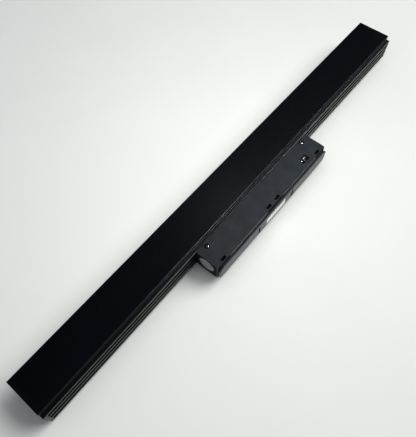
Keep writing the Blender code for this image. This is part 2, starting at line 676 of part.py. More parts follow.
def driver():
    """The driver board on its two standoffs, and its components."""
    span = (out(DRIVER_TOP), out(DRIVER_BACK))
    board = blocks("driver_board", [(around(0, DRIVER_LENGTH), span, around(MID, DRIVER_WIDTH))])
    past = (span[0] - GAP, span[1] + GAP)
    places = [(side * DRIVER_SCREW_X, MID) for side in (-1, 1)]
    radius = DRIVER_SCREW[2] + HOLE_CLEARANCE
    cut(board, cylinders("driver_hole_cutter", places, radius, "Y", *past, 12))
    cut(board, cylinders("driver_lead_cutter", [(0, MID)], LEAD_HOLE, "Y", *past))
    finish(board, BOARD_GREEN)
    for index, (x, z) in enumerate(places, 1):
        seat = (x, out(DRIVER_TOP + GAP), z)
        length = BOARD_THICKNESS + STANDOFF + FLOOR_THICKNESS
        pan_screw(f"driver_screw_{index}", DRIVER_SCREW, length, seat, (0, -1, 0), STEEL)

    pieces = (
        ("power_inductor", 0.0230, 0.0, (0.0122, 0.0080, 0.0122), FERRITE, 0.0010),
        ("controller_chip", -0.0400, 0.0, (0.0050, 0.0015, 0.0040), COMPONENT_BLACK, 0.0002),
        ("switching_transistor", -0.0510, 0.0, (0.0066, 0.0023, 0.0100), COMPONENT_BLACK, 0.0003),
        ("bridge_rectifier", 0.0520, 0.0, (0.0064, 0.0026, 0.0086), COMPONENT_BLACK, 0.0003),
    )
    for name, x, z, size, look, edge in pieces:
        piece = blocks(name, [standing(x, z, size)])
        soften(piece, edge, 2)
        finish(piece, look)

    radius, length = 0.0040, 0.0110
    profile = [(0, 0), (radius * 0.86, 0), (radius, 0.0005), (radius, 0.0011), (radius * 0.93, 0.0015)]
    profile += [(radius, 0.0019), (radius, length - 0.0004), (radius * 0.92, length), (0, length)]
    for name, x in (("input_capacitor", 0.0345), ("output_capacitor", -0.0700)):
        at = (x, out(DRIVER_TOP + GAP + radius), MID)
        finish(turned(name, profile, at, (1, 0, 0), 20), CAPACITOR_SLEEVE, smooth=True)

    terminal = blocks("output_terminal", [standing(TERMINAL_X, 0, TERMINAL_SIZE)])
    soften(terminal, 0.0004, 1)
    length, height, width = TERMINAL_SIZE
    port_x = (TERMINAL_X + length / 2 - 0.0030, TERMINAL_X + length / 2 + LONG)
    ports = [(lead_depth(), MID + side * LEAD_OFFSET) for side in (-1, 1)]
    ports = [(out(depth), z) for depth, z in ports]
    radius = LEAD_RADIUS + GAP
    cut(terminal, cylinders("port_cutter", ports, radius, "X", *port_x, 12))
    finish(terminal, CREAM_PLASTIC)


def lead_depth():
    return DRIVER_TOP + GAP + TERMINAL_SIZE[1] / 2


def smooth_route(points, per_span):
    """Points along a Catmull-Rom curve through the route's own points."""
    route = [Vector(point) for point in points]
    route = [2 * route[0] - route[1]] + route + [2 * route[-1] - route[-2]]
    smooth = []
    for a, b, c, d in zip(route, route[1:], route[2:], route[3:]):
        for step in range(per_span):
            t = step / per_span
            smooth.append(0.5 * (2 * b + (c - a) * t + (2 * a - 5 * b + 4 * c - d) * t * t
                                 + (3 * b - a - 3 * c + d) * t * t * t))
    smooth.append(route[-2])
    return smooth


def leads():
    """Two insulated leads from the terminal, through the adapter's floor and the
    grommet, to the near LED board."""
    start = TERMINAL_X + TERMINAL_SIZE[0] / 2 - 0.0020
    port = out(lead_depth())
    over = BOARD_TOP + GAP + LEAD_RADIUS + 0.0003
    for side, word, look in ((1, "positive", RED_LEAD), (-1, "negative", BLACK_LEAD)):
        near, far = MID + side * LEAD_OFFSET, MID + side * 2 * LEAD_OFFSET
        route = [(start, port, near), (start + 0.0050, port, near), (-0.0012, port + 0.0012, near),
                 (0, port + 0.0050, near), (0, Y_BACK, near), (0, Y_HOLLOW + 0.0030, near),
                 (0, (Y_HOLLOW + Y_CHANNEL) / 2, near), (0, Y_CHANNEL - WEB, near),
                 (-0.0004, Y_CHANNEL + 0.0006, near), (-0.0026, over, (near + far) / 2),
                 (-0.0060, over, far), (-0.0120, over, far)]
        data = bpy.data.curves.new("lead_" + word, "CURVE")
        data.dimensions = "3D"
        data.bevel_depth = LEAD_RADIUS
        data.bevel_resolution = 2
        data.use_fill_caps = True
        points = smooth_route(route, 5)
        spline = data.splines.new("POLY")
        spline.points.add(len(points) - 1)
        for knot, point in zip(spline.points, points):
            knot.co = (*point, 1.0)
        data.materials.append(look)
        item = bpy.data.objects.new("lead_" + word, data)
        bpy.context.scene.collection.objects.link(item)


def wire_grommet():
    """A flanged rubber bush in the bar's back wall, round the leads."""
    inner, outer, flange = GROMMET_BORE, GROMMET_BORE + GROMMET_WALL, GROMMET_BORE + 3 * GROMMET_WALL
    top, bottom = GAP + GROMMET_FLANGE, -(Y_HOLLOW - Y_BACK)
    profile = [(inner, bottom), (outer, bottom), (outer, GAP), (flange, GAP), (flange, top)]
    profile += [(inner, top), (inner, bottom)]
    finish(turned("wire_grommet", profile, (0, Y_BACK, MID), (0, -1, 0), 24), RUBBER, smooth=True)


def contacts():
    """The contact block between the two side walls, and in each of its wells a
    spring and a contact that the track's conductor presses in."""
    length, width = CONTACT_SIZE
    shoulder = SHOULDER_LENGTH
    well_x = around(CONTACT_X, shoulder + 2 * GAP)
    well_y = around(out(CONTACT_DEPTH), width + 2 * GAP)
    block_x = (well_x[0] - CONTACT_BLOCK_WALL, well_x[1] + CONTACT_BLOCK_WALL)
    block_y = (well_y[0] - CONTACT_BLOCK_WALL, out(DRIVER_TOP + GAP))
    half = INNER_HALF - GAP
    block = blocks("contact_block", [(block_x, block_y, around(MID, 2 * half))])
    wells = [(well_x, well_y, (MID + WELL_FLOOR, MID + half + LONG))]
    wells.append((well_x, well_y, (MID - half - LONG, MID - WELL_FLOOR)))
    cut(block, blocks("well_cutter", wells))
    finish(block, CREAM_PLASTIC)

    top = INNER_HALF - SHOULDER_DROP
    crown = HALF_BACK + CONTACT_PROUD
    rise = crown - top
    for side, word in ((1, "upper"), (-1, "lower")):
        arch = [(-length / 2, 0.0)]
        arch += [(-length / 2 * math.cos(turn), rise * math.sin(turn) ** 0.7)
                 for turn in [math.pi * step / 16 for step in range(1, 16)]]
        arch += [(length / 2, 0.0), (shoulder / 2, 0.0), (shoulder / 2, -SHOULDER_THICKNESS)]
        arch += [(-shoulder / 2, -SHOULDER_THICKNESS), (-shoulder / 2, 0.0)]
        outline = [(x, side * z) for x, z in arch]
        at = (CONTACT_X, out(CONTACT_DEPTH), MID + side * top)
        contact = prism("contact_" + word, outline, "Y", -width / 2, width / 2, at)
        scale = (length / 2 - CONTACT_STRIP) / (length / 2)
        rise_in = rise - CONTACT_STRIP
        eye = [(-length / 2 * scale * math.cos(turn), rise_in * math.sin(turn) ** 0.7)
               for turn in [math.pi * step / 16 for step in range(1, 16)]]
        eye = [(x, side * max(z, 0.0004)) for x, z in eye]
        cut(contact, prism("contact_eye_" + word, eye, "Y", -width, width, at))
        finish(contact, COPPER_ALLOY, smooth=True)

        low = WELL_FLOOR + GAP + SPRING_WIRE
        high = top - SHOULDER_THICKNESS - GAP - SPRING_WIRE
        knots = []
        steps = 10
        for step in range(SPRING_TURNS * steps + 1):
            turn = math.tau * step / steps
            z = low + (high - low) * step / (SPRING_TURNS * steps)
            knots.append((SPRING_RADIUS * math.cos(turn), SPRING_RADIUS * math.sin(turn), side * z))
        data = bpy.data.curves.new("contact_spring_" + word, "CURVE")
        data.dimensions = "3D"
        data.bevel_depth = SPRING_WIRE
        data.bevel_resolution = 1
        data.use_fill_caps = True
        spline = data.splines.new("POLY")
        spline.points.add(len(knots) - 1)
        for knot, point in zip(spline.points, knots):
            knot.co = (*point, 1.0)
        data.materials.append(STEEL)
        item = bpy.data.objects.new("contact_spring_" + word, data)
        item.location = (CONTACT_X, out(CONTACT_DEPTH), MID)
        bpy.context.scene.collection.objects.link(item)


lamp_extrusion()
diffuser()
led_boards()
end_caps()
wire_grommet()
leads()
mount_brackets()
adapter_housing()
end_label()
adapter_lid()
magnet_set()
driver()
contacts()
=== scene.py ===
import math

import bmesh
import bpy
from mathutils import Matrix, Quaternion, Vector


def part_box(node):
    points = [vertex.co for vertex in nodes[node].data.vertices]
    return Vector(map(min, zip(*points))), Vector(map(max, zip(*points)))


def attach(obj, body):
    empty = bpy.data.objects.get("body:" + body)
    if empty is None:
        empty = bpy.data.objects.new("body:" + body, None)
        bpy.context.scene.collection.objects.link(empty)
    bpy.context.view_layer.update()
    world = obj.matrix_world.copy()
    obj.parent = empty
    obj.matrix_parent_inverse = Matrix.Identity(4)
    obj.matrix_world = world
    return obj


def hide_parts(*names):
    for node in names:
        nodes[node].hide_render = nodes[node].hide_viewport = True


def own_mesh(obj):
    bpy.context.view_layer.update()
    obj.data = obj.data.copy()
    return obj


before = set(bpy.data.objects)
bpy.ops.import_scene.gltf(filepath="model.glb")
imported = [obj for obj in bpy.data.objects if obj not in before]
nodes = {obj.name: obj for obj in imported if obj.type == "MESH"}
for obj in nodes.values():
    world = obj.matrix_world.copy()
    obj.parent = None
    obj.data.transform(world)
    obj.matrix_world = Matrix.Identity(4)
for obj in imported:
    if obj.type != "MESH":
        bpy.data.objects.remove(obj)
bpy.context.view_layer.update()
scene = bpy.context.scene
scene.view_settings.view_transform = "Standard"
hair = 0.00005      # the seam left between pieces that touch
trim = 0.000001     # keeps a drawn piece inside the box of its node
over = 0.0005       # how far a cutter goes through a wall
past = 0.01         # how far a cutter stands out in the open
clear = 0.05        # well outside the adapter on either side
straight = 0.98     # a face whose normal has this much along an axis is square to it
sides = {"hole": 16, "bore": 20, "counterbore": 36, "label": 64}     # how round each hole is
print("frame loaded:", len(nodes), "nodes")


def keep(name, mesh):
    bmesh.ops.recalc_face_normals(mesh, faces=mesh.faces)
    data = bpy.data.meshes.new(name)
    mesh.to_mesh(data)
    mesh.free()
    item = bpy.data.objects.new(name, data)
    scene.collection.objects.link(item)
    return item


def across(axis, u, v, along):      # a point of an outline drawn across an axis
    return {"X": (along, u, v), "Y": (u, along, v), "Z": (u, v, along)}[axis]


def addSlab(mesh, outline, axis, low, high):
    start = [mesh.verts.new(across(axis, u, v, low)) for u, v in outline]
    made = bmesh.ops.extrude_face_region(mesh, geom=[mesh.faces.new(start)])
    moved = [part for part in made["geom"] if isinstance(part, bmesh.types.BMVert)]
    bmesh.ops.translate(mesh, verts=moved, vec=across(axis, 0, 0, high - low))


def slab(name, outline, axis, low, high):
    mesh = bmesh.new()
    addSlab(mesh, outline, axis, low, high)
    return keep(name, mesh)


def bricks(name, boxes):            # boxes as (x, y, z) ranges
    mesh = bmesh.new()
    for x, y, z in boxes:
        corners = [(x[0], y[0]), (x[1], y[0]), (x[1], y[1]), (x[0], y[1])]
        addSlab(mesh, corners, "Z", z[0], z[1])
    return keep(name, mesh)


def ring(u, v, radius, steps):
    turns = [math.tau * (step + 0.5) / steps for step in range(steps)]
    return [(u + radius * math.cos(turn), v + radius * math.sin(turn)) for turn in turns]


def rods(name, centres, radius, axis, low, high, steps=32):
    mesh = bmesh.new()
    for u, v in centres:
        addSlab(mesh, ring(u, v, radius, steps), axis, low, high)
    return keep(name, mesh)


def eased(corners, steps=4):        # right-angled corners given as (u, v, radius)
    points = []
    for index, (u, v, radius) in enumerate(corners):
        here = Vector((u, v))
        if radius == 0:
            points.append((u, v))
            continue
        before = (Vector(corners[index - 1][:2]) - here).normalized()
        after = (Vector(corners[(index + 1) % len(corners)][:2]) - here).normalized()
        centre = here + (before + after) * radius
        for step in range(steps + 1):
            turn = math.pi / 2 * step / steps
            points.append(tuple(centre - (after * math.cos(turn) + before * math.sin(turn)) * radius))
    return points


def about(middle, size):
    return (middle - size / 2, middle + size / 2)


def between(first, second):
    return (min(first, second), max(first, second))


def settle(item):                   # an object's modifiers turned into plain mesh
    graph = bpy.context.evaluated_depsgraph_get()
    plainMesh = bpy.data.meshes.new_from_object(item.evaluated_get(graph))
    item.modifiers.clear()
    item.data = plainMesh
    return item


def shape(target, tool, operation="DIFFERENCE"):
    step = target.modifiers.new("Shape", "BOOLEAN")
    step.object = tool
    step.operation = operation
    step.solver = "EXACT"
    settle(target)
    bpy.data.objects.remove(tool, do_unlink=True)
    return target


def ease(item, width, segments=2, angle=40):
    bevel = item.modifiers.new("Edges", "BEVEL")
    bevel.width = width
    bevel.segments = segments
    bevel.limit_method = "ANGLE"
    bevel.angle_limit = math.radians(angle)
    return settle(item)


def polish(item, angle=38):         # smooth round edges, level flat faces
    item.data.shade_smooth()
    item.data.set_sharp_from_angle(angle=math.radians(angle))
    level = item.modifiers.new("Level", "WEIGHTED_NORMAL")
    level.keep_sharp = True
    return settle(item)


def dress(item, *looks):
    item.data.materials.clear()
    for look in looks:
        item.data.materials.append(look)
    return item


def place(item, body, slotName, *replaced):
    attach(item, body)
    if replaced:
        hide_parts(*replaced)
    return item


def addNode(tree, kind, **settings):
    made = tree.nodes.new(kind)
    for key, value in settings.items():
        setattr(made, key, value)
    return made


def wire(tree, source, target):
    tree.links.new(source, target)


def newTree(name, inputs):
    tree = bpy.data.node_groups.new(name, "GeometryNodeTree")
    tree.interface.new_socket(name="Geometry", in_out="INPUT", socket_type="NodeSocketGeometry")
    for label, kind in inputs:
        tree.interface.new_socket(name=label, in_out="INPUT", socket_type="NodeSocket" + kind)
    tree.interface.new_socket(name="Geometry", in_out="OUTPUT", socket_type="NodeSocketGeometry")
    return tree, addNode(tree, "NodeGroupInput"), addNode(tree, "NodeGroupOutput")


def endTree(tree, last, finish, result):    # plain mesh with its finish
    realize = addNode(tree, "GeometryNodeRealizeInstances")
    wire(tree, last, realize.inputs["Geometry"])
    if finish is None:
        wire(tree, realize.outputs["Geometry"], result.inputs["Geometry"])
        return
    cover = addNode(tree, "GeometryNodeSetMaterial")
    wire(tree, realize.outputs["Geometry"], cover.inputs["Geometry"])
    wire(tree, finish, cover.inputs["Material"])
    wire(tree, cover.outputs["Geometry"], result.inputs["Geometry"])


def grow(item, tree, values):               # run a tree on an object and keep the mesh
    modifier = item.modifiers.new("Grow", "NODES")
    modifier.node_group = tree
    for socket in tree.interface.items_tree:
        if socket.item_type == "SOCKET" and socket.in_out == "INPUT" and socket.name in values:
            modifier[socket.identifier] = values[socket.name]
    return settle(item)


def seedPoints(name, points, facing=None):
    data = bpy.data.meshes.new(name)
    data.from_pydata([tuple(point) for point in points], [], [])
    if facing:
        attribute = data.attributes.new("facing", "FLOAT_VECTOR", "POINT")
        for entry, direction in zip(attribute.data, facing):
            entry.vector = direction
    item = bpy.data.objects.new(name, data)
    scene.collection.objects.link(item)
    return item


def math2(tree, operation, first, second):
    made = addNode(tree, "ShaderNodeMath", operation=operation)
    for socket, value in zip(made.inputs, (first, second)):
        if isinstance(value, (int, float)):
            socket.default_value = value
        else:
            wire(tree, value, socket)
    return made.outputs[0]


def sweepTree():    # an outline drawn on the floor, filled and drawn out along the bar
    tree, given, result = newTree("sweepTree", [("Start", "Float"), ("Length", "Float"),
                                                ("Finish", "Material")])
    toCurve = addNode(tree, "GeometryNodeMeshToCurve")
    fill = addNode(tree, "GeometryNodeFillCurve")
    wire(tree, given.outputs["Geometry"], toCurve.inputs["Mesh"])
    wire(tree, toCurve.outputs["Curve"], fill.inputs["Curve"])
    draw = addNode(tree, "GeometryNodeExtrudeMesh", mode="FACES")
    draw.inputs["Individual"].default_value = False
    offset = addNode(tree, "ShaderNodeCombineXYZ")
    wire(tree, given.outputs["Length"], offset.inputs["Z"])
    wire(tree, offset.outputs[0], draw.inputs["Offset"])
    wire(tree, fill.outputs["Mesh"], draw.inputs["Mesh"])
    flip = addNode(tree, "GeometryNodeFlipFaces")
    wire(tree, fill.outputs["Mesh"], flip.inputs["Mesh"])
    both = addNode(tree, "GeometryNodeJoinGeometry")
    wire(tree, draw.outputs["Mesh"], both.inputs["Geometry"])
    wire(tree, flip.outputs["Mesh"], both.inputs["Geometry"])
    weld = addNode(tree, "GeometryNodeMergeByDistance")
    weld.inputs["Distance"].default_value = 1e-6
    wire(tree, both.outputs["Geometry"], weld.inputs["Geometry"])
    turn = addNode(tree, "GeometryNodeTransform")
    turn.inputs["Rotation"].default_value = (math.pi / 2, 0, math.pi / 2)
    start = addNode(tree, "ShaderNodeCombineXYZ")
    wire(tree, given.outputs["Start"], start.inputs["X"])
    wire(tree, start.outputs[0], turn.inputs["Translation"])
    wire(tree, weld.outputs["Geometry"], turn.inputs["Geometry"])
    endTree(tree, turn.outputs["Geometry"], given.outputs["Finish"], result)
    return tree


screwMesh = {"sides": 32, "rises": 3, "rings": 5, "shankSides": 16, "domeCurve": 1.6,
             "domeDrop": 0.45, "shankSink": 0.498}


def screwTree():    # pan-head screws with a cross recess, set on points that face outwards
    tree, given, result = newTree("screwTree", [
        ("Head Radius", "Float"), ("Head Height", "Float"), ("Shank Radius", "Float"),
        ("Shank Length", "Float"), ("Recess Reach", "Float"), ("Recess Width", "Float"),
        ("Recess Depth", "Float"), ("Seed", "Int"), ("Finish", "Material")])
    radius, height = given.outputs["Head Radius"], given.outputs["Head Height"]
    head = addNode(tree, "GeometryNodeMeshCylinder")
    head.inputs["Vertices"].default_value = screwMesh["sides"]
    head.inputs["Side Segments"].default_value = screwMesh["rises"]
    head.inputs["Fill Segments"].default_value = screwMesh["rings"]
    wire(tree, radius, head.inputs["Radius"])
    wire(tree, height, head.inputs["Depth"])
    position = addNode(tree, "GeometryNodeInputPosition")
    split = addNode(tree, "ShaderNodeSeparateXYZ")
    wire(tree, position.outputs[0], split.inputs[0])
    squares = [math2(tree, "MULTIPLY", split.outputs[i], split.outputs[i]) for i in (0, 1)]
    reach = math2(tree, "DIVIDE", math2(tree, "ADD", *squares), math2(tree, "MULTIPLY", radius, radius))
    curve = math2(tree, "POWER", reach, screwMesh["domeCurve"])
    drop = math2(tree, "MULTIPLY", curve, screwMesh["domeDrop"])
    crown = math2(tree, "SUBTRACT", 1.0, drop)
    rise = math2(tree, "ADD", split.outputs[2], math2(tree, "DIVIDE", height, 2.0))
    domed = addNode(tree, "ShaderNodeCombineXYZ")
    wire(tree, split.outputs[0], domed.inputs[0])
    wire(tree, split.outputs[1], domed.inputs[1])
    wire(tree, math2(tree, "MULTIPLY", rise, crown), domed.inputs[2])
    lift = addNode(tree, "GeometryNodeSetPosition")
    wire(tree, head.outputs["Mesh"], lift.inputs["Geometry"])
    wire(tree, domed.outputs[0], lift.inputs["Position"])
    cross = addNode(tree, "GeometryNodeMeshBoolean", operation="DIFFERENCE", solver="EXACT")
    wire(tree, lift.outputs["Geometry"], cross.inputs["Mesh 1"])
    for order in ((0, 1), (1, 0)):
        arm = addNode(tree, "GeometryNodeMeshCube")
        size = addNode(tree, "ShaderNodeCombineXYZ")
        wire(tree, given.outputs["Recess Reach"], size.inputs[order[0]])
        wire(tree, given.outputs["Recess Width"], size.inputs[order[1]])
        wire(tree, math2(tree, "MULTIPLY", given.outputs["Recess Depth"], 2.0), size.inputs[2])
        wire(tree, size.outputs[0], arm.inputs["Size"])
        raised = addNode(tree, "GeometryNodeTransform")
        level = addNode(tree, "ShaderNodeCombineXYZ")
        wire(tree, height, level.inputs[2])
        wire(tree, level.outputs[0], raised.inputs["Translation"])
        wire(tree, arm.outputs["Mesh"], raised.inputs["Geometry"])
        wire(tree, raised.outputs["Geometry"], cross.inputs["Mesh 2"])
    shank = addNode(tree, "GeometryNodeMeshCylinder")
    shank.inputs["Vertices"].default_value = screwMesh["shankSides"]
    wire(tree, given.outputs["Shank Radius"], shank.inputs["Radius"])
    wire(tree, given.outputs["Shank Length"], shank.inputs["Depth"])
    sunk = addNode(tree, "GeometryNodeTransform")
    down = addNode(tree, "ShaderNodeCombineXYZ")
    sink = math2(tree, "MULTIPLY", given.outputs["Shank Length"], -screwMesh["shankSink"])
    wire(tree, sink, down.inputs[2])
    wire(tree, down.outputs[0], sunk.inputs["Translation"])
    wire(tree, shank.outputs["Mesh"], sunk.inputs["Geometry"])
    screw = addNode(tree, "GeometryNodeJoinGeometry")
    wire(tree, cross.outputs["Mesh"], screw.inputs["Geometry"])
    wire(tree, sunk.outputs["Geometry"], screw.inputs["Geometry"])
    facing = addNode(tree, "GeometryNodeInputNamedAttribute", data_type="FLOAT_VECTOR")
    facing.inputs["Name"].default_value = "facing"
    aim = addNode(tree, "FunctionNodeAlignRotationToVector", axis="Z")
    wire(tree, facing.outputs["Attribute"], aim.inputs["Vector"])
    chance = addNode(tree, "FunctionNodeRandomValue", data_type="FLOAT")
    chance.inputs[3].default_value = math.pi / 2
    wire(tree, given.outputs["Seed"], chance.inputs["Seed"])
    spin = addNode(tree, "FunctionNodeAxisAngleToRotation")
    wire(tree, chance.outputs[1], spin.inputs["Angle"])
    turned = addNode(tree, "FunctionNodeRotateRotation", rotation_space="LOCAL")
    wire(tree, aim.outputs[0], turned.inputs[0])
    wire(tree, spin.outputs[0], turned.inputs[1])
    setOut = addNode(tree, "GeometryNodeInstanceOnPoints")
    wire(tree, given.outputs["Geometry"], setOut.inputs["Points"])
    wire(tree, screw.outputs["Geometry"], setOut.inputs["Instance"])
    wire(tree, turned.outputs[0], setOut.inputs["Rotation"])
    endTree(tree, setOut.outputs["Instances"], given.outputs["Finish"], result)
    return tree


packageMesh = {"cupSides": 16, "domeSides": 12, "domeRings": 6, "domeFill": 0.97, "domeFlat": 0.2}


def packageTree():    # a row of LED packages, each a white cup with a phosphor dome
    tree, given, result = newTree("packageTree", [
        ("Count", "Int"), ("Start", "Vector"), ("Pitch", "Float"), ("Package", "Vector"),
        ("Cup Radius", "Float"), ("Cup Depth", "Float"), ("Cup Finish", "Material"),
        ("Phosphor Finish", "Material")])
    cube = addNode(tree, "GeometryNodeMeshCube")
    wire(tree, given.outputs["Package"], cube.inputs["Size"])
    bore = addNode(tree, "GeometryNodeMeshCylinder")
    bore.inputs["Vertices"].default_value = packageMesh["cupSides"]
    wire(tree, given.outputs["Cup Radius"], bore.inputs["Radius"])
    wire(tree, math2(tree, "MULTIPLY", given.outputs["Cup Depth"], 2.0), bore.inputs["Depth"])
    size = addNode(tree, "ShaderNodeSeparateXYZ")
    wire(tree, given.outputs["Package"], size.inputs[0])
    face = math2(tree, "DIVIDE", size.outputs[1], 2.0)
    out = addNode(tree, "ShaderNodeCombineXYZ")
    wire(tree, face, out.inputs[1])
    seat = addNode(tree, "GeometryNodeTransform")
    seat.inputs["Rotation"].default_value = (math.pi / 2, 0, 0)
    wire(tree, bore.outputs["Mesh"], seat.inputs["Geometry"])
    wire(tree, out.outputs[0], seat.inputs["Translation"])
    cup = addNode(tree, "GeometryNodeMeshBoolean", operation="DIFFERENCE", solver="EXACT")
    wire(tree, cube.outputs["Mesh"], cup.inputs["Mesh 1"])
    wire(tree, seat.outputs["Geometry"], cup.inputs["Mesh 2"])
    cupCover = addNode(tree, "GeometryNodeSetMaterial")
    wire(tree, cup.outputs["Mesh"], cupCover.inputs["Geometry"])
    wire(tree, given.outputs["Cup Finish"], cupCover.inputs["Material"])
    dome = addNode(tree, "GeometryNodeMeshUVSphere")
    dome.inputs["Segments"].default_value = packageMesh["domeSides"]
    dome.inputs["Rings"].default_value = packageMesh["domeRings"]
    domeRadius = math2(tree, "MULTIPLY", given.outputs["Cup Radius"], packageMesh["domeFill"])
    wire(tree, domeRadius, dome.inputs["Radius"])
    flat = addNode(tree, "GeometryNodeTransform")
    flat.inputs["Scale"].default_value = (1, packageMesh["domeFlat"], 1)
    low = addNode(tree, "ShaderNodeCombineXYZ")
    wire(tree, math2(tree, "SUBTRACT", face, given.outputs["Cup Depth"]), low.inputs[1])
    wire(tree, dome.outputs["Mesh"], flat.inputs["Geometry"])
    wire(tree, low.outputs[0], flat.inputs["Translation"])
    domeCover = addNode(tree, "GeometryNodeSetMaterial")
    wire(tree, flat.outputs["Geometry"], domeCover.inputs["Geometry"])
    wire(tree, given.outputs["Phosphor Finish"], domeCover.inputs["Material"])
    both = addNode(tree, "GeometryNodeJoinGeometry")
    wire(tree, cupCover.outputs["Geometry"], both.inputs["Geometry"])
    wire(tree, domeCover.outputs["Geometry"], both.inputs["Geometry"])
    line = addNode(tree, "GeometryNodeMeshLine", mode="OFFSET")
    wire(tree, given.outputs["Count"], line.inputs["Count"])
    wire(tree, given.outputs["Start"], line.inputs["Start Location"])
    step = addNode(tree, "ShaderNodeCombineXYZ")
    wire(tree, given.outputs["Pitch"], step.inputs[0])
    wire(tree, step.outputs[0], line.inputs["Offset"])
    setOut = addNode(tree, "GeometryNodeInstanceOnPoints")
    wire(tree, line.outputs["Mesh"], setOut.inputs["Points"])
    wire(tree, both.outputs["Geometry"], setOut.inputs["Instance"])
    endTree(tree, setOut.outputs["Instances"], None, result)
    return tree


springMesh = {"stepsPerTurn": 20, "wireSides": 8}


def springTree():    # a wound compression spring standing on its start point
    tree, given, result = newTree("springTree", [
        ("Foot", "Vector"), ("Rise", "Float"), ("Radius", "Float"), ("Wire", "Float"),
        ("Turns", "Float"), ("Finish", "Material")])
    spiral = addNode(tree, "GeometryNodeCurveSpiral")
    spiral.inputs["Resolution"].default_value = springMesh["stepsPerTurn"]
    wire(tree, given.outputs["Turns"], spiral.inputs["Rotations"])
    for end in ("Start Radius", "End Radius"):
        wire(tree, given.outputs["Radius"], spiral.inputs[end])
    wire(tree, given.outputs["Rise"], spiral.inputs["Height"])
    section = addNode(tree, "GeometryNodeCurvePrimitiveCircle")
    section.inputs["Resolution"].default_value = springMesh["wireSides"]
    wire(tree, given.outputs["Wire"], section.inputs["Radius"])
    coil = addNode(tree, "GeometryNodeCurveToMesh")
    coil.inputs["Fill Caps"].default_value = True
    wire(tree, spiral.outputs["Curve"], coil.inputs["Curve"])
    wire(tree, section.outputs["Curve"], coil.inputs["Profile Curve"])
    stand = addNode(tree, "GeometryNodeTransform")
    wire(tree, coil.outputs["Mesh"], stand.inputs["Geometry"])
    wire(tree, given.outputs["Foot"], stand.inputs["Translation"])
    endTree(tree, stand.outputs["Geometry"], given.outputs["Finish"], result)
    return tree


def righted(item):                  # faces pointed outwards after a tree has run
    mesh = bmesh.new()
    mesh.from_mesh(item.data)
    bmesh.ops.recalc_face_normals(mesh, faces=mesh.faces)
    mesh.to_mesh(item.data)
    mesh.free()
    return item


spreads = {"cloud": (0.36, 0.64), "grain": (0.3, 0.7)}     # the part of each noise that counts


def finish(name, look):
    made = bpy.data.materials.new(name)
    made.use_nodes = True
    tree = made.node_tree
    shader = tree.nodes["Principled BSDF"]
    shader.inputs["Metallic"].default_value = look.get("metallic", 0.0)
    shader.inputs["Specular IOR Level"].default_value = look.get("gloss", 0.5)
    where = addNode(tree, "ShaderNodeTexCoord")
    mapping = addNode(tree, "ShaderNodeMapping")
    mapping.inputs["Scale"].default_value = look.get("stretch", (1, 1, 1))
    wire(tree, where.outputs["Object"], mapping.inputs["Vector"])
    cloud = addNode(tree, "ShaderNodeTexNoise")
    cloud.inputs["Scale"].default_value = look["cloud"]
    cloud.inputs["Detail"].default_value = 5
    wire(tree, mapping.outputs[0], cloud.inputs["Vector"])
    tint = addNode(tree, "ShaderNodeMix", data_type="RGBA")
    tint.inputs[6].default_value = (*look["dark"], 1)
    tint.inputs[7].default_value = (*look["light"], 1)
    spread = addNode(tree, "ShaderNodeMapRange")
    spread.inputs["From Min"].default_value = spreads["cloud"][0]
    spread.inputs["From Max"].default_value = spreads["cloud"][1]
    wire(tree, cloud.outputs[0], spread.inputs["Value"])
    wire(tree, spread.outputs[0], tint.inputs[0])
    grain = addNode(tree, "ShaderNodeTexNoise")
    grain.inputs["Scale"].default_value = look["grain"]
    grain.inputs["Detail"].default_value = 3
    wire(tree, mapping.outputs[0], grain.inputs["Vector"])
    rough = addNode(tree, "ShaderNodeMapRange")
    rough.inputs["From Min"].default_value = spreads["grain"][0]
    rough.inputs["From Max"].default_value = spreads["grain"][1]
    rough.inputs["To Min"].default_value = look["rough"][0]
    rough.inputs["To Max"].default_value = look["rough"][1]
    wire(tree, grain.outputs[0], rough.inputs["Value"])
    bump = addNode(tree, "ShaderNodeBump")
    bump.inputs["Strength"].default_value = look.get("bump", 0.3)
    bump.inputs["Distance"].default_value = look.get("depth", 0.00002)
    wire(tree, grain.outputs[0], bump.inputs["Height"])
    wire(tree, tint.outputs[2], shader.inputs["Base Color"])
    wire(tree, rough.outputs[0], shader.inputs["Roughness"])
    wire(tree, bump.outputs[0], shader.inputs["Normal"])
    return made


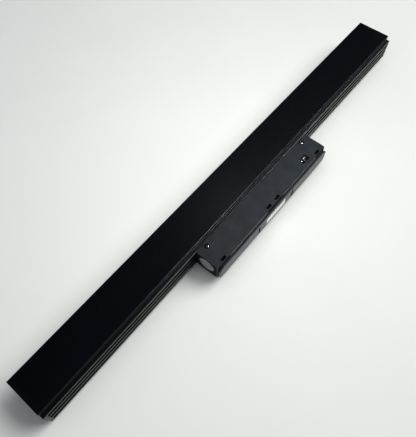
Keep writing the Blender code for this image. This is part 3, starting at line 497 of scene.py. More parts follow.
looks = {
    "blackAnodised": {"dark": (0.0010, 0.0020, 0.0036), "light": (0.0016, 0.0028, 0.0046),
                      "cloud": 25, "grain": 2600, "rough": (0.27, 0.35), "gloss": 0.45,
                      "stretch": (0.06, 1, 1), "bump": 0.25, "depth": 0.000006},
    # painted sheen: a brighter, metallic copy of the black anodising, put on the flat sides of the bar's
    # back strip
    "paintedSheenAnodised": {"dark": (0.082, 0.092, 0.102), "light": (0.100, 0.112, 0.124), "metallic": 1.0,
                      "cloud": 25, "grain": 2600, "rough": (0.31, 0.39), "stretch": (0.06, 1, 1),
                      "bump": 0.25, "depth": 0.000006},
    "capPlastic": {"dark": (0.0014, 0.0020, 0.0028), "light": (0.0022, 0.0030, 0.0040), "gloss": 0.35,
                   "cloud": 120, "grain": 2400, "rough": (0.32, 0.42), "bump": 0.3, "depth": 0.00001},
    "adapterPlastic": {"dark": (0.0150, 0.0198, 0.0245), "light": (0.0218, 0.0280, 0.0342),
                       "cloud": 90, "grain": 2200, "rough": (0.38, 0.48), "bump": 0.35,
                       "depth": 0.000012},
    # painted shade: a near-black finish for faces that stand in shade
    "mouldShadow": {"dark": (0.0012, 0.0014, 0.0016), "light": (0.0022, 0.0025, 0.0028),
                    "cloud": 200, "grain": 1500, "rough": (0.70, 0.85), "gloss": 0.15},
    "opalDiffuser": {"dark": (0.80, 0.81, 0.79), "light": (0.86, 0.87, 0.85),
                     "cloud": 40, "grain": 1800, "rough": (0.34, 0.46), "bump": 0.15},
    "boardWhite": {"dark": (0.72, 0.73, 0.71), "light": (0.82, 0.82, 0.80),
                   "cloud": 160, "grain": 900, "rough": (0.40, 0.52), "bump": 0.2},
    "phosphor": {"dark": (0.78, 0.62, 0.12), "light": (0.86, 0.72, 0.20),
                 "cloud": 900, "grain": 3000, "rough": (0.25, 0.35)},
    "boardGreen": {"dark": (0.010, 0.080, 0.030), "light": (0.022, 0.150, 0.055),
                   "cloud": 320, "grain": 900, "rough": (0.28, 0.40), "bump": 0.3},
    "zincSteel": {"dark": (0.46, 0.46, 0.45), "light": (0.66, 0.66, 0.63), "metallic": 1.0,
                  "cloud": 420, "grain": 1900, "rough": (0.24, 0.40), "bump": 0.2},
    "brightNickel": {"dark": (0.78, 0.77, 0.74), "light": (0.92, 0.91, 0.88), "metallic": 1.0,
                     "cloud": 260, "grain": 1600, "rough": (0.17, 0.27), "bump": 0.08,
                     "stretch": (0.3, 1, 1), "depth": 0.000004},
    "springCopper": {"dark": (0.060, 0.038, 0.026), "light": (0.115, 0.078, 0.054), "metallic": 1.0,
                     "cloud": 520, "grain": 2200, "rough": (0.30, 0.46), "bump": 0.15},
    "contactSilver": {"dark": (0.84, 0.83, 0.80), "light": (0.96, 0.95, 0.93), "metallic": 1.0,
                      "cloud": 600, "grain": 2600, "rough": (0.08, 0.13), "bump": 0.03,
                      "depth": 0.000004},
    "blackRubber": {"dark": (0.010, 0.010, 0.010), "light": (0.022, 0.022, 0.022),
                    "cloud": 300, "grain": 1800, "rough": (0.70, 0.88), "bump": 0.4},
    "redInsulation": {"dark": (0.36, 0.012, 0.012), "light": (0.50, 0.025, 0.022),
                      "cloud": 260, "grain": 1500, "rough": (0.38, 0.50)},
    "blackInsulation": {"dark": (0.010, 0.010, 0.011), "light": (0.020, 0.020, 0.021),
                        "cloud": 260, "grain": 1500, "rough": (0.38, 0.50)},
    "mouldingCompound": {"dark": (0.012, 0.012, 0.013), "light": (0.024, 0.024, 0.026),
                         "cloud": 500, "grain": 2800, "rough": (0.48, 0.62), "bump": 0.4},
    "capacitorSleeve": {"dark": (0.018, 0.030, 0.085), "light": (0.030, 0.048, 0.130),
                        "cloud": 240, "grain": 1500, "rough": (0.28, 0.40)},
    "ferrite": {"dark": (0.045, 0.045, 0.046), "light": (0.090, 0.090, 0.092),
                "cloud": 420, "grain": 2400, "rough": (0.62, 0.80), "bump": 0.5},
    "creamPlastic": {"dark": (0.52, 0.50, 0.42), "light": (0.66, 0.64, 0.56),
                     "cloud": 200, "grain": 1800, "rough": (0.42, 0.56)},
    "labelGrey": {"dark": (0.200, 0.220, 0.205), "light": (0.380, 0.405, 0.385),
                  "cloud": 330, "grain": 1200, "rough": (0.30, 0.52), "bump": 0.3},
    "tableWhite": {"dark": (0.835, 0.850, 0.825), "light": (0.850, 0.865, 0.840),
                   "cloud": 9, "grain": 700, "rough": (0.75, 0.90), "gloss": 0.0, "bump": 0.05},
}
finishes = {name: finish(name, look) for name, look in looks.items()}
carriedOver = {
    "bridge_rectifier": "mouldingCompound", "controller_chip": "mouldingCompound",
    "switching_transistor": "mouldingCompound", "power_inductor": "ferrite",
    "input_capacitor": "capacitorSleeve", "output_capacitor": "capacitorSleeve",
    "output_terminal": "creamPlastic", "contact_block": "creamPlastic",
    "board_link": "creamPlastic", "driver_board": "boardGreen",
    "lead_positive": "redInsulation", "lead_negative": "blackInsulation",
    "wire_grommet": "blackRubber", "magnet_yoke": "zincSteel",
    "mount_bracket_far": "zincSteel", "mount_bracket_near": "zincSteel",
}
for nodeName, finishName in carriedOver.items():
    for materialSlot in nodes[nodeName].material_slots:
        materialSlot.material = finishes[finishName]
print("finishes made:", len(finishes))

barLow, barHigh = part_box("lamp_extrusion")
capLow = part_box("end_cap_far")[0]
boxLow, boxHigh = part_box("adapter_housing")
middle = (barLow.z + barHigh.z) / 2
halfBody = (barHigh.z - barLow.z) / 2 - trim
halfBack = (boxHigh.z - boxLow.z) / 2
front, back = barHigh.y, barLow.y
bar = {"stepDepth": 0.0040, "edge": 0.0005, "land": 0.0030, "landEdge": 0.0008, "grooves": 3,
       "grooveDepth": 0.0030, "grooveFoot": 0.0002, "wall": 0.0022, "shoulder": 0.0015,
       "web": 0.0020, "channel": 0.0220, "boss": 0.0062, "bossBore": 0.00155,
       "clipStart": 0.0026, "clipWidth": 0.0016, "clipDepth": 0.0008, "capTongue": 0.0035,
       "grommetLip": 0.0020, "leadHole": 0.0040, "screwHole": 0.0014}
stepY = back + bar["stepDepth"]
channelY = front - bar["channel"]
hollowY = stepY + bar["shoulder"]
halfChannel = halfBody - bar["wall"]
capInner = capLow.x + bar["capTongue"]
profileEnd = capInner - hair


def outlineObject(name, loops):     # closed loops of edges drawn on the floor plane
    data = bpy.data.meshes.new(name)
    points, edges = [], []
    for loop in loops:
        first = len(points)
        points += [(u, v, 0) for u, v in loop]
        edges += [(first + i, first + (i + 1) % len(loop)) for i in range(len(loop))]
    data.from_pydata(points, edges, [])
    item = bpy.data.objects.new(name, data)
    scene.collection.objects.link(item)
    return item


def barOutline():
    pitch = (2 * halfBack - bar["land"]) / bar["grooves"]
    edge, landEdge, foot = bar["edge"], bar["landEdge"], bar["grooveFoot"]
    floorY = back + bar["grooveDepth"]
    corners = [(front, halfBody, edge), (stepY, halfBody, edge), (stepY, halfBack, foot)]
    corners.append((back, halfBack, landEdge))
    for index in range(bar["grooves"]):
        top = halfBack - bar["land"] - index * pitch
        bottom = top - (pitch - bar["land"])
        corners += [(back, top, landEdge), (floorY, top, foot)]
        corners += [(floorY, bottom, foot), (back, bottom, landEdge)]
    corners += [(back, -halfBack, landEdge), (stepY, -halfBack, foot)]
    corners += [(stepY, -halfBody, edge), (front, -halfBody, edge)]
    clip = (front - bar["clipStart"], front - bar["clipStart"] - bar["clipWidth"])
    deep = halfChannel + bar["clipDepth"]
    side = [(front, halfChannel), (clip[0], halfChannel), (clip[0], deep), (clip[1], deep)]
    side += [(clip[1], halfChannel), (channelY, halfChannel)]
    corners += [(y, -z, 0) for y, z in side] + [(y, z, 0) for y, z in reversed(side)]
    return [(y, z + middle) for y, z in eased(corners)]


def hollowOutline():
    low, high, wide, boss = hollowY, channelY - bar["web"], halfChannel, bar["boss"]
    half = [(high, wide), (low + boss, wide), (low + boss, wide - boss), (low, wide - boss)]
    corners = half + [(y, -z) for y, z in reversed(half)]
    return [(y, z + middle) for y, z in corners]


def drawBar():
    bossY, bossZ = hollowY + bar["boss"] / 2, halfChannel - bar["boss"] / 2
    bores = [ring(bossY, middle + side * bossZ, bar["bossBore"], sides["bore"]) for side in (-1, 1)]
    outline = outlineObject("barProfile", [barOutline(), hollowOutline(), *bores])
    piece = grow(outline, sweepTree(), {"Start": -profileEnd, "Length": 2 * profileEnd,
                                        "Finish": finishes["blackAnodised"]})
    righted(piece)
    grommetLow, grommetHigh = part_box("wire_grommet")
    bore = (grommetHigh.x - grommetLow.x) / 2 - bar["grommetLip"] + 2 * hair
    throughWeb = (channelY - (bar["web"] + over), channelY + over)
    throughBack = (back + (bar["grooveDepth"] - over), hollowY + over)
    shape(piece, rods("grommetCutter", [(0, middle)], bore, "Y", back - past, hollowY + over))
    shape(piece, rods("leadCutter", [(0, middle)], bar["leadHole"], "Y", *throughWeb))
    for group, span in (("board_screw_", throughWeb), ("bracket_screw_", throughBack)):
        centres = [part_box(group + str(index)) for index in (1, 2, 3, 4)]
        centres = [((low.x + high.x) / 2, middle) for low, high in centres]
        shape(piece, rods("holeCutter", centres, bar["screwHole"], "Y", *span, sides["hole"]))
    dress(polish(piece), finishes["blackAnodised"], finishes["paintedSheenAnodised"], finishes["mouldShadow"])
    for face in piece.data.polygons:    # painted sheen: a brighter copy of the anodising on the flat sides of the narrow back part; painted shade on the shoulder and in the groove hollows
        onSide = face.center.y < stepY and abs(face.normal.z) > straight
        inGroove = back + hair < face.center.y < back + bar["grooveDepth"] + hair
        edgeOn = abs(face.center.z - middle) > halfBack - bar["land"] - bar["landEdge"]
        shoulder = abs(face.center.y - stepY) < hair and face.normal.y < -straight
        paintedShade = shoulder or (inGroove and not edgeOn)
        face.material_index = 2 if paintedShade else 1 if onSide and edgeOn else 0
    return place(piece, "lamp", "black_anodised", "lamp_extrusion")


drawBar()
print("bar drawn")

cover = {"face": 0.0016, "leg": 0.0012, "legLength": 0.0055, "corner": 0.0004, "play": 0.0001}


def drawDiffuser():
    wide = halfChannel - hair
    leg = wide - cover["leg"]
    catch = wide + bar["clipDepth"] - 2 * cover["play"]
    near = front - bar["clipStart"] - cover["play"]
    far = front - bar["clipStart"] - bar["clipWidth"] + cover["play"]
    side = [(near, wide), (near, catch), (far, wide), (front - cover["legLength"], wide)]
    side += [(front - cover["legLength"], leg), (front - cover["face"], leg)]
    corner = eased([(front, -wide, cover["corner"]), (front, wide, cover["corner"]),
                    (near, wide, 0), (near, -wide, 0)])[:-2]
    outline = corner + side + [(y, -z) for y, z in reversed(side)]
    outline = [(y, z + middle) for y, z in outline]
    piece = outlineObject("diffuserCover", [outline])
    grow(piece, bpy.data.node_groups["sweepTree"],
         {"Start": -profileEnd, "Length": 2 * profileEnd, "Finish": finishes["opalDiffuser"]})
    righted(piece)
    polish(piece)
    dress(piece, finishes["opalDiffuser"])
    return place(piece, "lamp", "opal_diffuser", "diffuser")


drawDiffuser()

leds = {"count": 30, "package": (0.0035, 0.0007, 0.0028), "cupRadius": 0.0011, "cupDepth": 0.0003,
        "board": 0.0016, "boardEdge": 0.0001}


def drawBoards():
    packages = packageTree()
    for side, word in ((-1, "near"), (1, "far")):
        low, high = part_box("led_board_" + word)
        top = low.y + leds["board"]
        board = bricks("ledBoard" + word.title(), [((low.x, high.x), (low.y, top), (low.z, high.z))])
        screws = [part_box("board_screw_" + str(index)) for index in (1, 2, 3, 4)]
        centres = [((a.x + b.x) / 2, middle) for a, b in screws]
        inside = [centre for centre in centres if low.x < centre[0] < high.x]
        span = (low.y - 2 * over, top + 2 * over)
        shape(board, rods("boardHoles", inside, bar["screwHole"], "Y", *span, sides["hole"]))
        ease(board, leds["boardEdge"], segments=1)
        dress(polish(board), finishes["boardWhite"])
        place(board, "lamp", "led_board_white", "led_board_" + word)
        pitch = (high.x - low.x) / leds["count"]
        start = (low.x + pitch / 2, top + leds["package"][1] / 2, middle)
        row = seedPoints("ledRow" + word.title(), [start])
        grow(row, packages, {
            "Count": leds["count"], "Start": start, "Pitch": pitch, "Package": leds["package"],
            "Cup Radius": leds["cupRadius"], "Cup Depth": leds["cupDepth"],
            "Cup Finish": finishes["boardWhite"], "Phosphor Finish": finishes["phosphor"]})
        place(row, "lamp", "led_board_white")


drawBoards()
print("light source made")

caps = {"edge": 0.0005, "rim": 0.0004, "bore": 0.0032, "boreDepth": 0.0024, "hole": 0.00155,
        "holeSpan": (0.29, 0.31), "tongueFrom": 0.0030, "tongueTo": 0.0070, "tonguePlay": 0.0020}


def drawCaps():
    bossY, bossZ = hollowY + bar["boss"] / 2, halfChannel - bar["boss"] / 2
    places = [(bossY, middle + bossZ), (bossY, middle - bossZ)]
    corners = [(front, halfBody, caps["edge"]), (stepY, halfBody, caps["edge"])]
    corners += [(stepY, halfBack, 0), (back, halfBack, caps["edge"])]
    corners += [(y, -z, radius) for y, z, radius in reversed(corners)]
    outline = [(y, z + middle) for y, z in eased(corners)]
    for side, word in ((-1, "near"), (1, "far")):
        low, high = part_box("end_cap_" + word)
        outer = high.x if side > 0 else -low.x
        piece = slab("endCap" + word.title(), outline, "X", *between(side * capInner, side * outer))
        ease(piece, caps["rim"], segments=3, angle=60)
        alongBar = between(side * capLow.x, side * (capInner + 2 * over))
        outwards = (channelY + caps["tongueFrom"], front - caps["tongueTo"])
        upright = about(middle, 2 * (halfChannel - caps["tonguePlay"]))
        shape(piece, bricks("tongue", [(alongBar, outwards, upright)]), "UNION")
        start, stop = (side * x for x in caps["holeSpan"])
        deep = side * (outer - caps["boreDepth"])
        holes = rods("capHoles", places, caps["hole"], "X", *between(start, stop), sides["bore"])
        shape(piece, holes)
        shape(piece, rods("capBores", places, caps["bore"], "X", *between(deep, stop)))
        dress(polish(piece), finishes["capPlastic"])
        place(piece, "lamp", "cap_plastic", "end_cap_" + word)


drawCaps()
print("end caps made")

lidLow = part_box("adapter_lid")[0]
blockLow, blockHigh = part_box("contact_block")
end, rimY, lidY = boxHigh.x, boxLow.y, lidLow.y
adapter = {"wall": 0.0020, "gap": 0.0003, "skim": 0.0002, "edge": 0.0005, "fineEdge": 0.00015,
           "endRadius": 0.0025, "floor": (0.0083, 0.0103), "pilotReach": 0.0020,
           "standoffX": 0.0790, "standoff": 0.0011, "standoffRadius": 0.0025, "pilot": 0.0011,
           "leadHole": 0.0040, "rimStep": 0.0008, "stepCentre": 0.0280, "stepEnd": 0.0199,
           "windows": (0.00745, 0.08535), "windowLength": 0.0072, "windowFromRim": 0.0018,
           "windowHeight": 0.0033, "contactX": 0.0680, "contactLength": 0.0111,
           "contactWidth": 0.0073, "contactDepth": 0.01995, "counterbore": 0.0030,
           "counterboreDepth": 0.0015, "screwHole": 0.0015,
           "labelRadius": 0.0097, "labelDepth": 0.01375, "labelRise": 0.0013, "recess": 0.0006}
halfInner = (blockHigh.z - blockLow.z) / 2 + adapter["gap"]


def out(depth):                     # measured out from the bar's back
    return back - depth


def easeSome(item, width, segments, chosen):    # only the sharp edges a test picks out
    mesh = bmesh.new()
    mesh.from_mesh(item.data)
    sharp = [edge for edge in mesh.edges
             if len(edge.link_faces) == 2 and edge.calc_face_angle() > math.radians(50)
             and all(chosen(vert.co) for vert in edge.verts)]
    bmesh.ops.bevel(mesh, geom=sharp, offset=width, segments=segments, profile=0.5,
                    affect="EDGES", clamp_overlap=True)
    mesh.to_mesh(item.data)
    mesh.free()
    return item


def shadeInside(item, low, high, margin=0.00045):    # faces within a box take the second finish, painted shade for the unlit inside
    for face in item.data.polygons:
        inside = all(low[i] + margin < face.center[i] < high[i] - margin for i in (0, 1, 2))
        face.material_index = 1 if inside else 0
    return item


def shadeBehind(item, y):           # faces behind a plane take the second finish, painted shade
    for face in item.data.polygons:
        face.material_index = 1 if face.center.y > y else 0


def drawAdapterBox():
    inner = end - adapter["wall"]
    corners = [(end, back - hair, 0), (end, rimY, adapter["endRadius"])]
    corners += [(-x, y, radius) for x, y, radius in reversed(corners)]
    piece = slab("adapterBox", eased(corners, 6), "Z", boxLow.z, boxHigh.z)
    easeSome(piece, adapter["edge"], 3, lambda point: point.y < back - 2 * hair)
    acrossInside, through = about(middle, 2 * halfInner), about(middle, 2 * clear)
    (near, far), skim = adapter["floor"], adapter["skim"]
    hollows = [((-inner, inner), (out(near), out(-past)), acrossInside),
               ((-inner, inner), (out(clear), out(far)), acrossInside)]
    shape(piece, bricks("hollows", hollows))
    stands = [(side * adapter["standoffX"], middle) for side in (-1, 1)]
    span = (out(far + adapter["standoff"]), out(far - 2 * over))
    shape(piece, rods("stands", stands, adapter["standoffRadius"], "Y", *span), "UNION")
    span = (out(far + adapter["pilotReach"]), out(near - skim))
    shape(piece, rods("pilots", stands, adapter["pilot"], "Y", *span, sides["hole"]))
    span = (out(far + skim), out(near - skim))
    shape(piece, rods("leadHole", [(0, middle)], adapter["leadHole"], "Y", *span))
    windowNear = rimY + adapter["windowFromRim"]
    windowY = (windowNear, windowNear + adapter["windowHeight"])
    windows = [(about(side * x, adapter["windowLength"]), windowY, through)
               for x in adapter["windows"] for side in (-1, 1)]
    windows.append((about(adapter["contactX"], adapter["contactLength"]),
                    about(out(adapter["contactDepth"]), adapter["contactWidth"]), through))
    shape(piece, bricks("windows", windows))
    drop = (rimY - past, rimY + adapter["rimStep"])
    spans = [about(0, adapter["stepCentre"]), (end - adapter["stepEnd"], end + past)]
    spans.append((-end - past, -end + adapter["stepEnd"]))
    walls = [(boxLow.z - past, middle - halfInner + skim), (middle + halfInner - skim, boxHigh.z + past)]
    shape(piece, bricks("rimDrops", [(x, drop, z) for x in spans for z in walls]))
    screws = [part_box("side_screw_upper_" + word) for word in ("near", "far")]
    screws = [((low.x + high.x) / 2, (low.y + high.y) / 2) for low, high in screws]
    shape(piece, rods("screwHoles", screws, adapter["screwHole"], "Z", *through, sides["bore"]))
    for side in (-1, 1):
        seat = middle + side * (halfBack - adapter["counterboreDepth"])
        span = between(seat, middle + side * clear)
        seats = rods("counterbores", screws, adapter["counterbore"], "Z", *span, sides["counterbore"])
        shape(piece, seats)
    centre = [(out(adapter["labelDepth"]), middle + adapter["labelRise"])]
    span = (-end - past, -end + adapter["recess"])
    shape(piece, rods("labelRecess", centre, adapter["labelRadius"], "X", *span, sides["label"]))
    easeSome(piece, adapter["fineEdge"], 2, lambda point: point.y < back - 2 * adapter["gap"])
    dress(polish(piece), finishes["adapterPlastic"], finishes["mouldShadow"])
    shadeInside(piece, boxLow, boxHigh)
    for face in piece.data.polygons:    # painted shade: the two ends, which stand in shade, take the dark finish
        if abs(face.normal.x) > straight and abs(face.center.x) > end - adapter["wall"] / 2:
            face.material_index = 1
    return place(piece, "lamp", "adapter_plastic", "adapter_housing")


drawAdapterBox()
print("adapter box made")

lid = {"width": 0.0190, "radius": 0.0050, "edge": 0.0006, "plate": 0.0020,
       "hookThickness": 0.0013, "hookReach": 0.0005, "margin": 0.0004,
       "holderLength": 0.0580, "holderWidth": 0.0126, "holderEdge": 0.0004, "prySlot": 0.0028,
       "flangeThickness": 0.0012, "seatEdge": 0.00012, "magnetEdge": 0.0003}


def drawAdapterCover():
    gap, margin = adapter["gap"], lid["margin"]
    inner, half = end - adapter["wall"] - gap, halfInner - gap
    corners = [(end, lid["width"] / 2, lid["radius"]), (end, -lid["width"] / 2, lid["radius"])]
    corners += [(-x, z, radius) for x, z, radius in reversed(corners)]
    raised = [(x, z + middle) for x, z in eased(corners, 8)]
    piece = slab("adapterCover", raised, "Y", lidY, rimY - gap)
    ease(piece, lid["edge"], segments=3, angle=60)
    plate = ((-inner, inner), (rimY, rimY + lid["plate"]), about(middle, 2 * half))
    neck = about(middle, lid["width"] - 2 * lid["edge"] - margin)
    reach = inner - lid["radius"]
    shape(piece, bricks("plate", [plate]), "UNION")
    shape(piece, bricks("neck", [((-reach, reach), (rimY - 2 * gap, rimY + gap), neck)]), "UNION")
    windowNear = rimY + adapter["windowFromRim"]
    windowFar = windowNear + adapter["windowHeight"]
    start = rimY + lid["plate"] - gap
    profile = [(start, half - lid["hookThickness"]), (start, half), (windowNear + margin, half)]
    profile += [(windowNear + margin, half + gap + lid["hookReach"]), (windowFar - margin, half)]
    profile += [(windowFar + margin, half), (windowFar + margin, half - lid["hookThickness"])]
    hooks = bmesh.new()
    for x in adapter["windows"]:
        for side in (-1, 1):
            for face in (-1, 1):
                outline = [(y, middle + face * z) for y, z in profile]
                span = about(side * x, adapter["windowLength"] - 2 * margin)
                addSlab(hooks, outline, "X", *span)
    shape(piece, keep("hooks", hooks), "UNION")
    pocket = about(0, lid["holderLength"] + 2 * lid["prySlot"])
    depth = (lidY - past, rimY + lid["plate"] + gap)
    shape(piece, bricks("pocket", [(pocket, depth, about(middle, lid["holderWidth"] + 2 * gap))]))
    easeSome(piece, adapter["fineEdge"], 2, lambda point: point.y < rimY - gap)
    dress(polish(piece), finishes["adapterPlastic"], finishes["mouldShadow"])
    for face in piece.data.polygons:    # painted shade behind the rim and on the walls of the pocket
        x, y, z = face.center
        inPocket = abs(x) < pocket[1] + gap and abs(z - middle) < lid["holderWidth"] / 2 + 2 * gap
        face.material_index = 1 if y > rimY + gap or (inPocket and y > lidY + gap) else 0
    return place(piece, "lamp", "adapter_plastic", "adapter_lid")


def drawMagnetHolder():
    low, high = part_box("magnet_carrier")
    magnetLow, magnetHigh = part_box("track_magnet")
    yokeLow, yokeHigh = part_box("magnet_yoke")
    gap, acrossHolder = adapter["gap"], about(middle, lid["holderWidth"])
    piece = bricks("magnetHolder", [(about(0, lid["holderLength"]), (lidY, high.y), acrossHolder)])
    easeSome(piece, lid["holderEdge"], 3, lambda point: point.y < high.y - gap)
    flange = ((low.x, high.x), (high.y - lid["flangeThickness"], high.y), (low.z, high.z))
    shape(piece, bricks("holderFlange", [flange]), "UNION")
    cut = (magnetLow.z - 3 * hair, magnetHigh.z + 3 * hair)
    window = ((magnetLow.x - 3 * hair, magnetHigh.x + 3 * hair), (lidY - past, magnetHigh.y + gap), cut)
    recess = ((yokeLow.x - gap, yokeHigh.x + gap), (magnetHigh.y, high.y + past), cut)
    shape(piece, bricks("magnetSeat", [window]))
    shape(piece, bricks("yokeSeat", [recess]))
    easeSome(piece, lid["seatEdge"], 2, lambda point: point.y < lidY + over)
    dress(polish(piece), finishes["adapterPlastic"], finishes["mouldShadow"])
    # painted shade on the holder's faces behind the lid's face, seen through the pry slots
    shadeBehind(piece, lidY + 2 * gap)
    place(piece, "lamp", "adapter_plastic", "magnet_carrier")
    magnet = bricks("trackMagnet", [tuple(zip(magnetLow, magnetHigh))])
    ease(magnet, lid["magnetEdge"], segments=3)
    dress(polish(magnet), finishes["brightNickel"])
    return place(magnet, "lamp", "nickel_plate", "track_magnet")


label = {"sides": 72, "edge": 0.00008}


def drawLabel():
    low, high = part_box("end_label")
    centre = [((low.y + high.y) / 2, (low.z + high.z) / 2)]
    piece = rods("labelDisc", centre, (high.y - low.y) / 2, "X", low.x, high.x, label["sides"])
    ease(piece, label["edge"], segments=2)
    dress(polish(piece), finishes["labelGrey"])
    return place(piece, "lamp", "label_grey", "end_label")


drawAdapterCover()
drawMagnetHolder()
drawLabel()
print("adapter cover, magnet and label made")

screwNodes = screwTree()
screwSets = [
    {"piece": "sideScrews", "group": "side_screw_", "height": 0.0012, "shank": 0.00120,
     "finish": "brightNickel", "slot": "nickel_plate", "seed": 4},
    {"piece": "capScrews", "group": "cap_screw_", "height": 0.0018, "shank": 0.00125,
     "finish": "zincSteel", "slot": "zinc_steel", "seed": 7},
    {"piece": "boardScrews", "group": "board_screw_", "height": 0.0014, "shank": 0.00110,
     "finish": "zincSteel", "slot": "zinc_steel", "seed": 11},
    {"piece": "bracketScrews", "group": "bracket_screw_", "height": 0.0018, "shank": 0.00125,
     "finish": "zincSteel", "slot": "zinc_steel", "seed": 19},
    {"piece": "driverScrews", "group": "driver_screw_", "height": 0.0012, "shank": 0.00080,
     "finish": "zincSteel", "slot": "zinc_steel", "seed": 23},
]
crossRecess = {"reach": 1.15, "width": 0.26, "depth": 0.6}   # shares of the head's radius and height
facings = {"side_screw_upper": (0, 0, 1), "side_screw_lower": (0, 0, -1),
           "cap_screw_near": (-1, 0, 0), "cap_screw_far": (1, 0, 0),
           "board_screw": (0, 1, 0), "bracket_screw": (0, -1, 0), "driver_screw": (0, -1, 0)}


def drawScrews(values):
    names = sorted(name for name in nodes if name.startswith(values["group"]))
    points, directions = [], []
    for name in names:
        low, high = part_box(name)
        facing = Vector(next(way for start, way in facings.items() if name.startswith(start)))
        point = (low + high) / 2
        axis = max(range(3), key=lambda index: abs(facing[index]))
        top = high[axis] if facing[axis] > 0 else low[axis]
        point[axis] = top - facing[axis] * values["height"]
        points.append(point)
        directions.append(facing)
    length = high[axis] - low[axis] - values["height"]
    radius = (high[axis - 1] - low[axis - 1]) / 2
    piece = seedPoints(values["piece"], points, directions)
    grow(piece, screwNodes, {
        "Head Radius": radius, "Head Height": values["height"], "Shank Radius": values["shank"],
        "Shank Length": length, "Recess Reach": radius * crossRecess["reach"],
        "Recess Width": radius * crossRecess["width"],
        "Recess Depth": values["height"] * crossRecess["depth"],
        "Seed": values["seed"], "Finish": finishes[values["finish"]]})
    polish(righted(piece), angle=50)
    return place(piece, "lamp", values["slot"], *names)


for screwSet in screwSets:
    drawScrews(screwSet)
print("screws set")

contact = {"strip": 0.0005, "shoulder": 0.0008, "pad": 0.00025, "half": 0.0048, "press": 0.0013,
           "steps": 28, "arch": 0.7, "edge": 0.00012, "padEdge": 0.0002, "padRoot": 0.0009,
           "spotSink": 0.0011, "wire": 0.00025, "turns": 5.0}
padOutline = [(-0.0020, -0.0001), (-0.0027, -0.0020), (-0.0017, -0.0022), (-0.0008, -0.0001),
              (0.0024, 0.0000), (0.0024, 0.0013), (-0.0022, 0.0013)]
spotOutline = [(-0.0046, 0.0006), (-0.0034, 0.0004), (-0.0033, 0.0018), (-0.0045, 0.0019)]
springs = springTree()


def archLine(x, z, half, rise):      # half a squared-off oval standing on its ends
    turns = [math.pi * step / contact["steps"] for step in range(contact["steps"] + 1)]
    return [(x - half * math.cos(turn), z + rise * math.sin(turn) ** contact["arch"]) for turn in turns]


def drawContact(word, side):
    low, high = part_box("contact_" + word)
    x, crown = (low.x + high.x) / 2, high.z if side > 0 else low.z
    top = (low.z if side > 0 else high.z) + side * contact["shoulder"]
    half, rise = contact["half"], abs(crown - top) - contact["pad"]
    outer = archLine(x, top, half, side * rise)
    inner = archLine(x, top, half - contact["strip"], side * (rise - contact["strip"]))
    mesh = bmesh.new()
    addSlab(mesh, outer + inner[::-1], "Y", low.y, high.y)
    item = keep("contact" + word.title(), mesh)
    thick = between(top - side * contact["shoulder"], top + side * 2 * hair)
    shape(item, bricks("foot", [((low.x, high.x), (low.y, high.y), thick)]), "UNION")
    ease(item, contact["edge"], segments=2, angle=60)
    dress(polish(item, angle=50), finishes["springCopper"])
    pads, y = bmesh.new(), (low.y + high.y) / 2
    for outline, sink in ((padOutline, 0.0), (spotOutline, contact["spotSink"])):
        level = crown - side * sink
        flat = [(x + u, y + v) for u, v in outline]
        addSlab(pads, flat, "Z", *between(level, level - side * (contact["pad"] + contact["padRoot"])))
    pad = keep("contactPad" + word.title(), pads)
    ease(pad, contact["padEdge"], segments=3, angle=60)
    dress(polish(pad, angle=50), finishes["contactSilver"])
    place(pad, word + "_contact", "contact_alloy")
    return place(item, word + "_contact", "contact_alloy", "contact_" + word)


def drawSpring(word):
    low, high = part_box("contact_spring_" + word)
    wireRadius = contact["wire"]
    foot = Vector(((low.x + high.x) / 2, (low.y + high.y) / 2, low.z + wireRadius))
    rise = high.z - low.z - 2 * wireRadius
    piece = seedPoints("spring" + word.title(), [foot])
    grow(piece, springs, {"Foot": foot, "Rise": rise, "Radius": (high.x - low.x) / 2 - wireRadius,
                          "Wire": wireRadius, "Turns": contact["turns"], "Finish": finishes["zincSteel"]})
    polish(righted(piece), angle=50)
    place(piece, "lamp", "zinc_steel", "contact_spring_" + word)
    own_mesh(piece)


for word, side in (("upper", 1), ("lower", -1)):
    drawContact(word, side)
    drawSpring(word)
print("contacts and springs made")


ground = {"reach": 6.0, "squares": 24}


def drawTable():
    mesh, squares = bmesh.new(), ground["squares"]
    bmesh.ops.create_grid(mesh, x_segments=squares, y_segments=squares, size=ground["reach"])
    bmesh.ops.translate(mesh, verts=mesh.verts, vec=(0, 0, barLow.z))
    table = keep("table", mesh)
    dress(table, finishes["tableWhite"])


def addLamp(name, values):
    lamp = bpy.data.lights.new(name, "AREA")
    lamp.shape = values["shape"]
    lamp.size, lamp.size_y = values["size"]
    lamp.energy = values["power"]
    lamp.color = values["colour"]
    item = bpy.data.objects.new(name, lamp)
    item.location = values["at"]
    aim = Vector(values["aim"]) - Vector(values["at"])
    item.rotation_euler = aim.to_track_quat("-Z", "Y").to_euler()
    item.visible_glossy = values["glossy"]
    item.visible_diffuse = values["diffuse"]
    item.visible_camera = False
    scene.collection.objects.link(item)


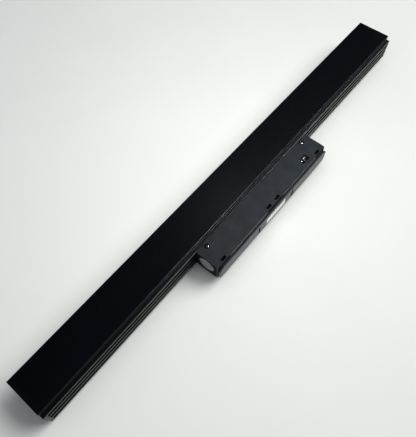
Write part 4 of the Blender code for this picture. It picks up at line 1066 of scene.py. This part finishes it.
lamps = {
    "keyLamp": {"at": (1.94, -0.98, 2.27), "aim": (0.0, 0.0, 0.0), "size": (2.3, 2.3),
                "shape": "ELLIPSE", "power": 86.0, "colour": (1.0, 1.0, 0.985),
                "glossy": False, "diffuse": True},
    "overLamp": {"at": (0.02, 0.015, 0.30), "aim": (0.02, 0.015, 0.0), "size": (0.34, 0.34),
                 "shape": "ELLIPSE", "power": 0.40, "colour": (0.985, 1.0, 0.985),
                 "glossy": False, "diffuse": True},
    "gleamLamp": {"at": (0.39, 0.08, 0.88), "aim": (0.0, 0.0, 0.02), "size": (0.50, 0.06),
                  "shape": "RECTANGLE", "power": 0.22, "colour": (0.94, 0.98, 1.0),
                  "glossy": True, "diffuse": False},
    "sideLamp": {"at": (0.50, -1.36, 0.50), "aim": (0.0, 0.0, 0.03), "size": (0.35, 0.45),
                 "shape": "RECTANGLE", "power": 27.0, "colour": (0.96, 0.98, 1.0),
                 "glossy": True, "diffuse": False},
    "sparkLamp": {"at": (1.00, -0.50, 1.15), "aim": (0.0, 0.0, 0.03), "size": (0.25, 0.25),
                  "shape": "ELLIPSE", "power": 7.0, "colour": (1.0, 1.0, 1.0),
                  "glossy": True, "diffuse": False},
    "padLamp": {"at": (0.665, 0.218, 0.88), "aim": (0.0, 0.0, 0.03), "size": (0.06, 0.06),
                "shape": "ELLIPSE", "power": 0.012, "colour": (1.0, 1.0, 1.0),
                "glossy": True, "diffuse": False},
}
drawTable()
for lampName, lampValues in lamps.items():
    addLamp(lampName, lampValues)
room = {"colour": (0.9, 0.95, 1.0, 1), "strength": 0.27}
world = bpy.data.worlds.new("room")
world.use_nodes = True
sky = world.node_tree.nodes["Background"]
sky.inputs["Color"].default_value = room["colour"]
sky.inputs["Strength"].default_value = room["strength"]
world.cycles_visibility.glossy = False
scene.world = world
print("table, lamps and room set")

view = {"aim": (-0.05467, 0.01275, 0.0189), "towards": (-0.36018, -0.30916, 0.88016),
        "distance": 0.49472, "roll": -1.115, "lens": 37.44, "clipStart": 0.01}
cameraData = bpy.data.cameras.new("viewCamera")
cameraData.lens = view["lens"]
cameraData.clip_start = view["clipStart"]
camera = bpy.data.objects.new("viewCamera", cameraData)
towards = Vector(view["towards"]).normalized()
camera.location = Vector(view["aim"]) + towards * view["distance"]
camera.rotation_mode = "QUATERNION"
roll = Quaternion((0, 0, 1), math.radians(view["roll"]))
camera.rotation_quaternion = (-towards).to_track_quat("-Z", "Y") @ roll
scene.collection.objects.link(camera)
scene.camera = camera
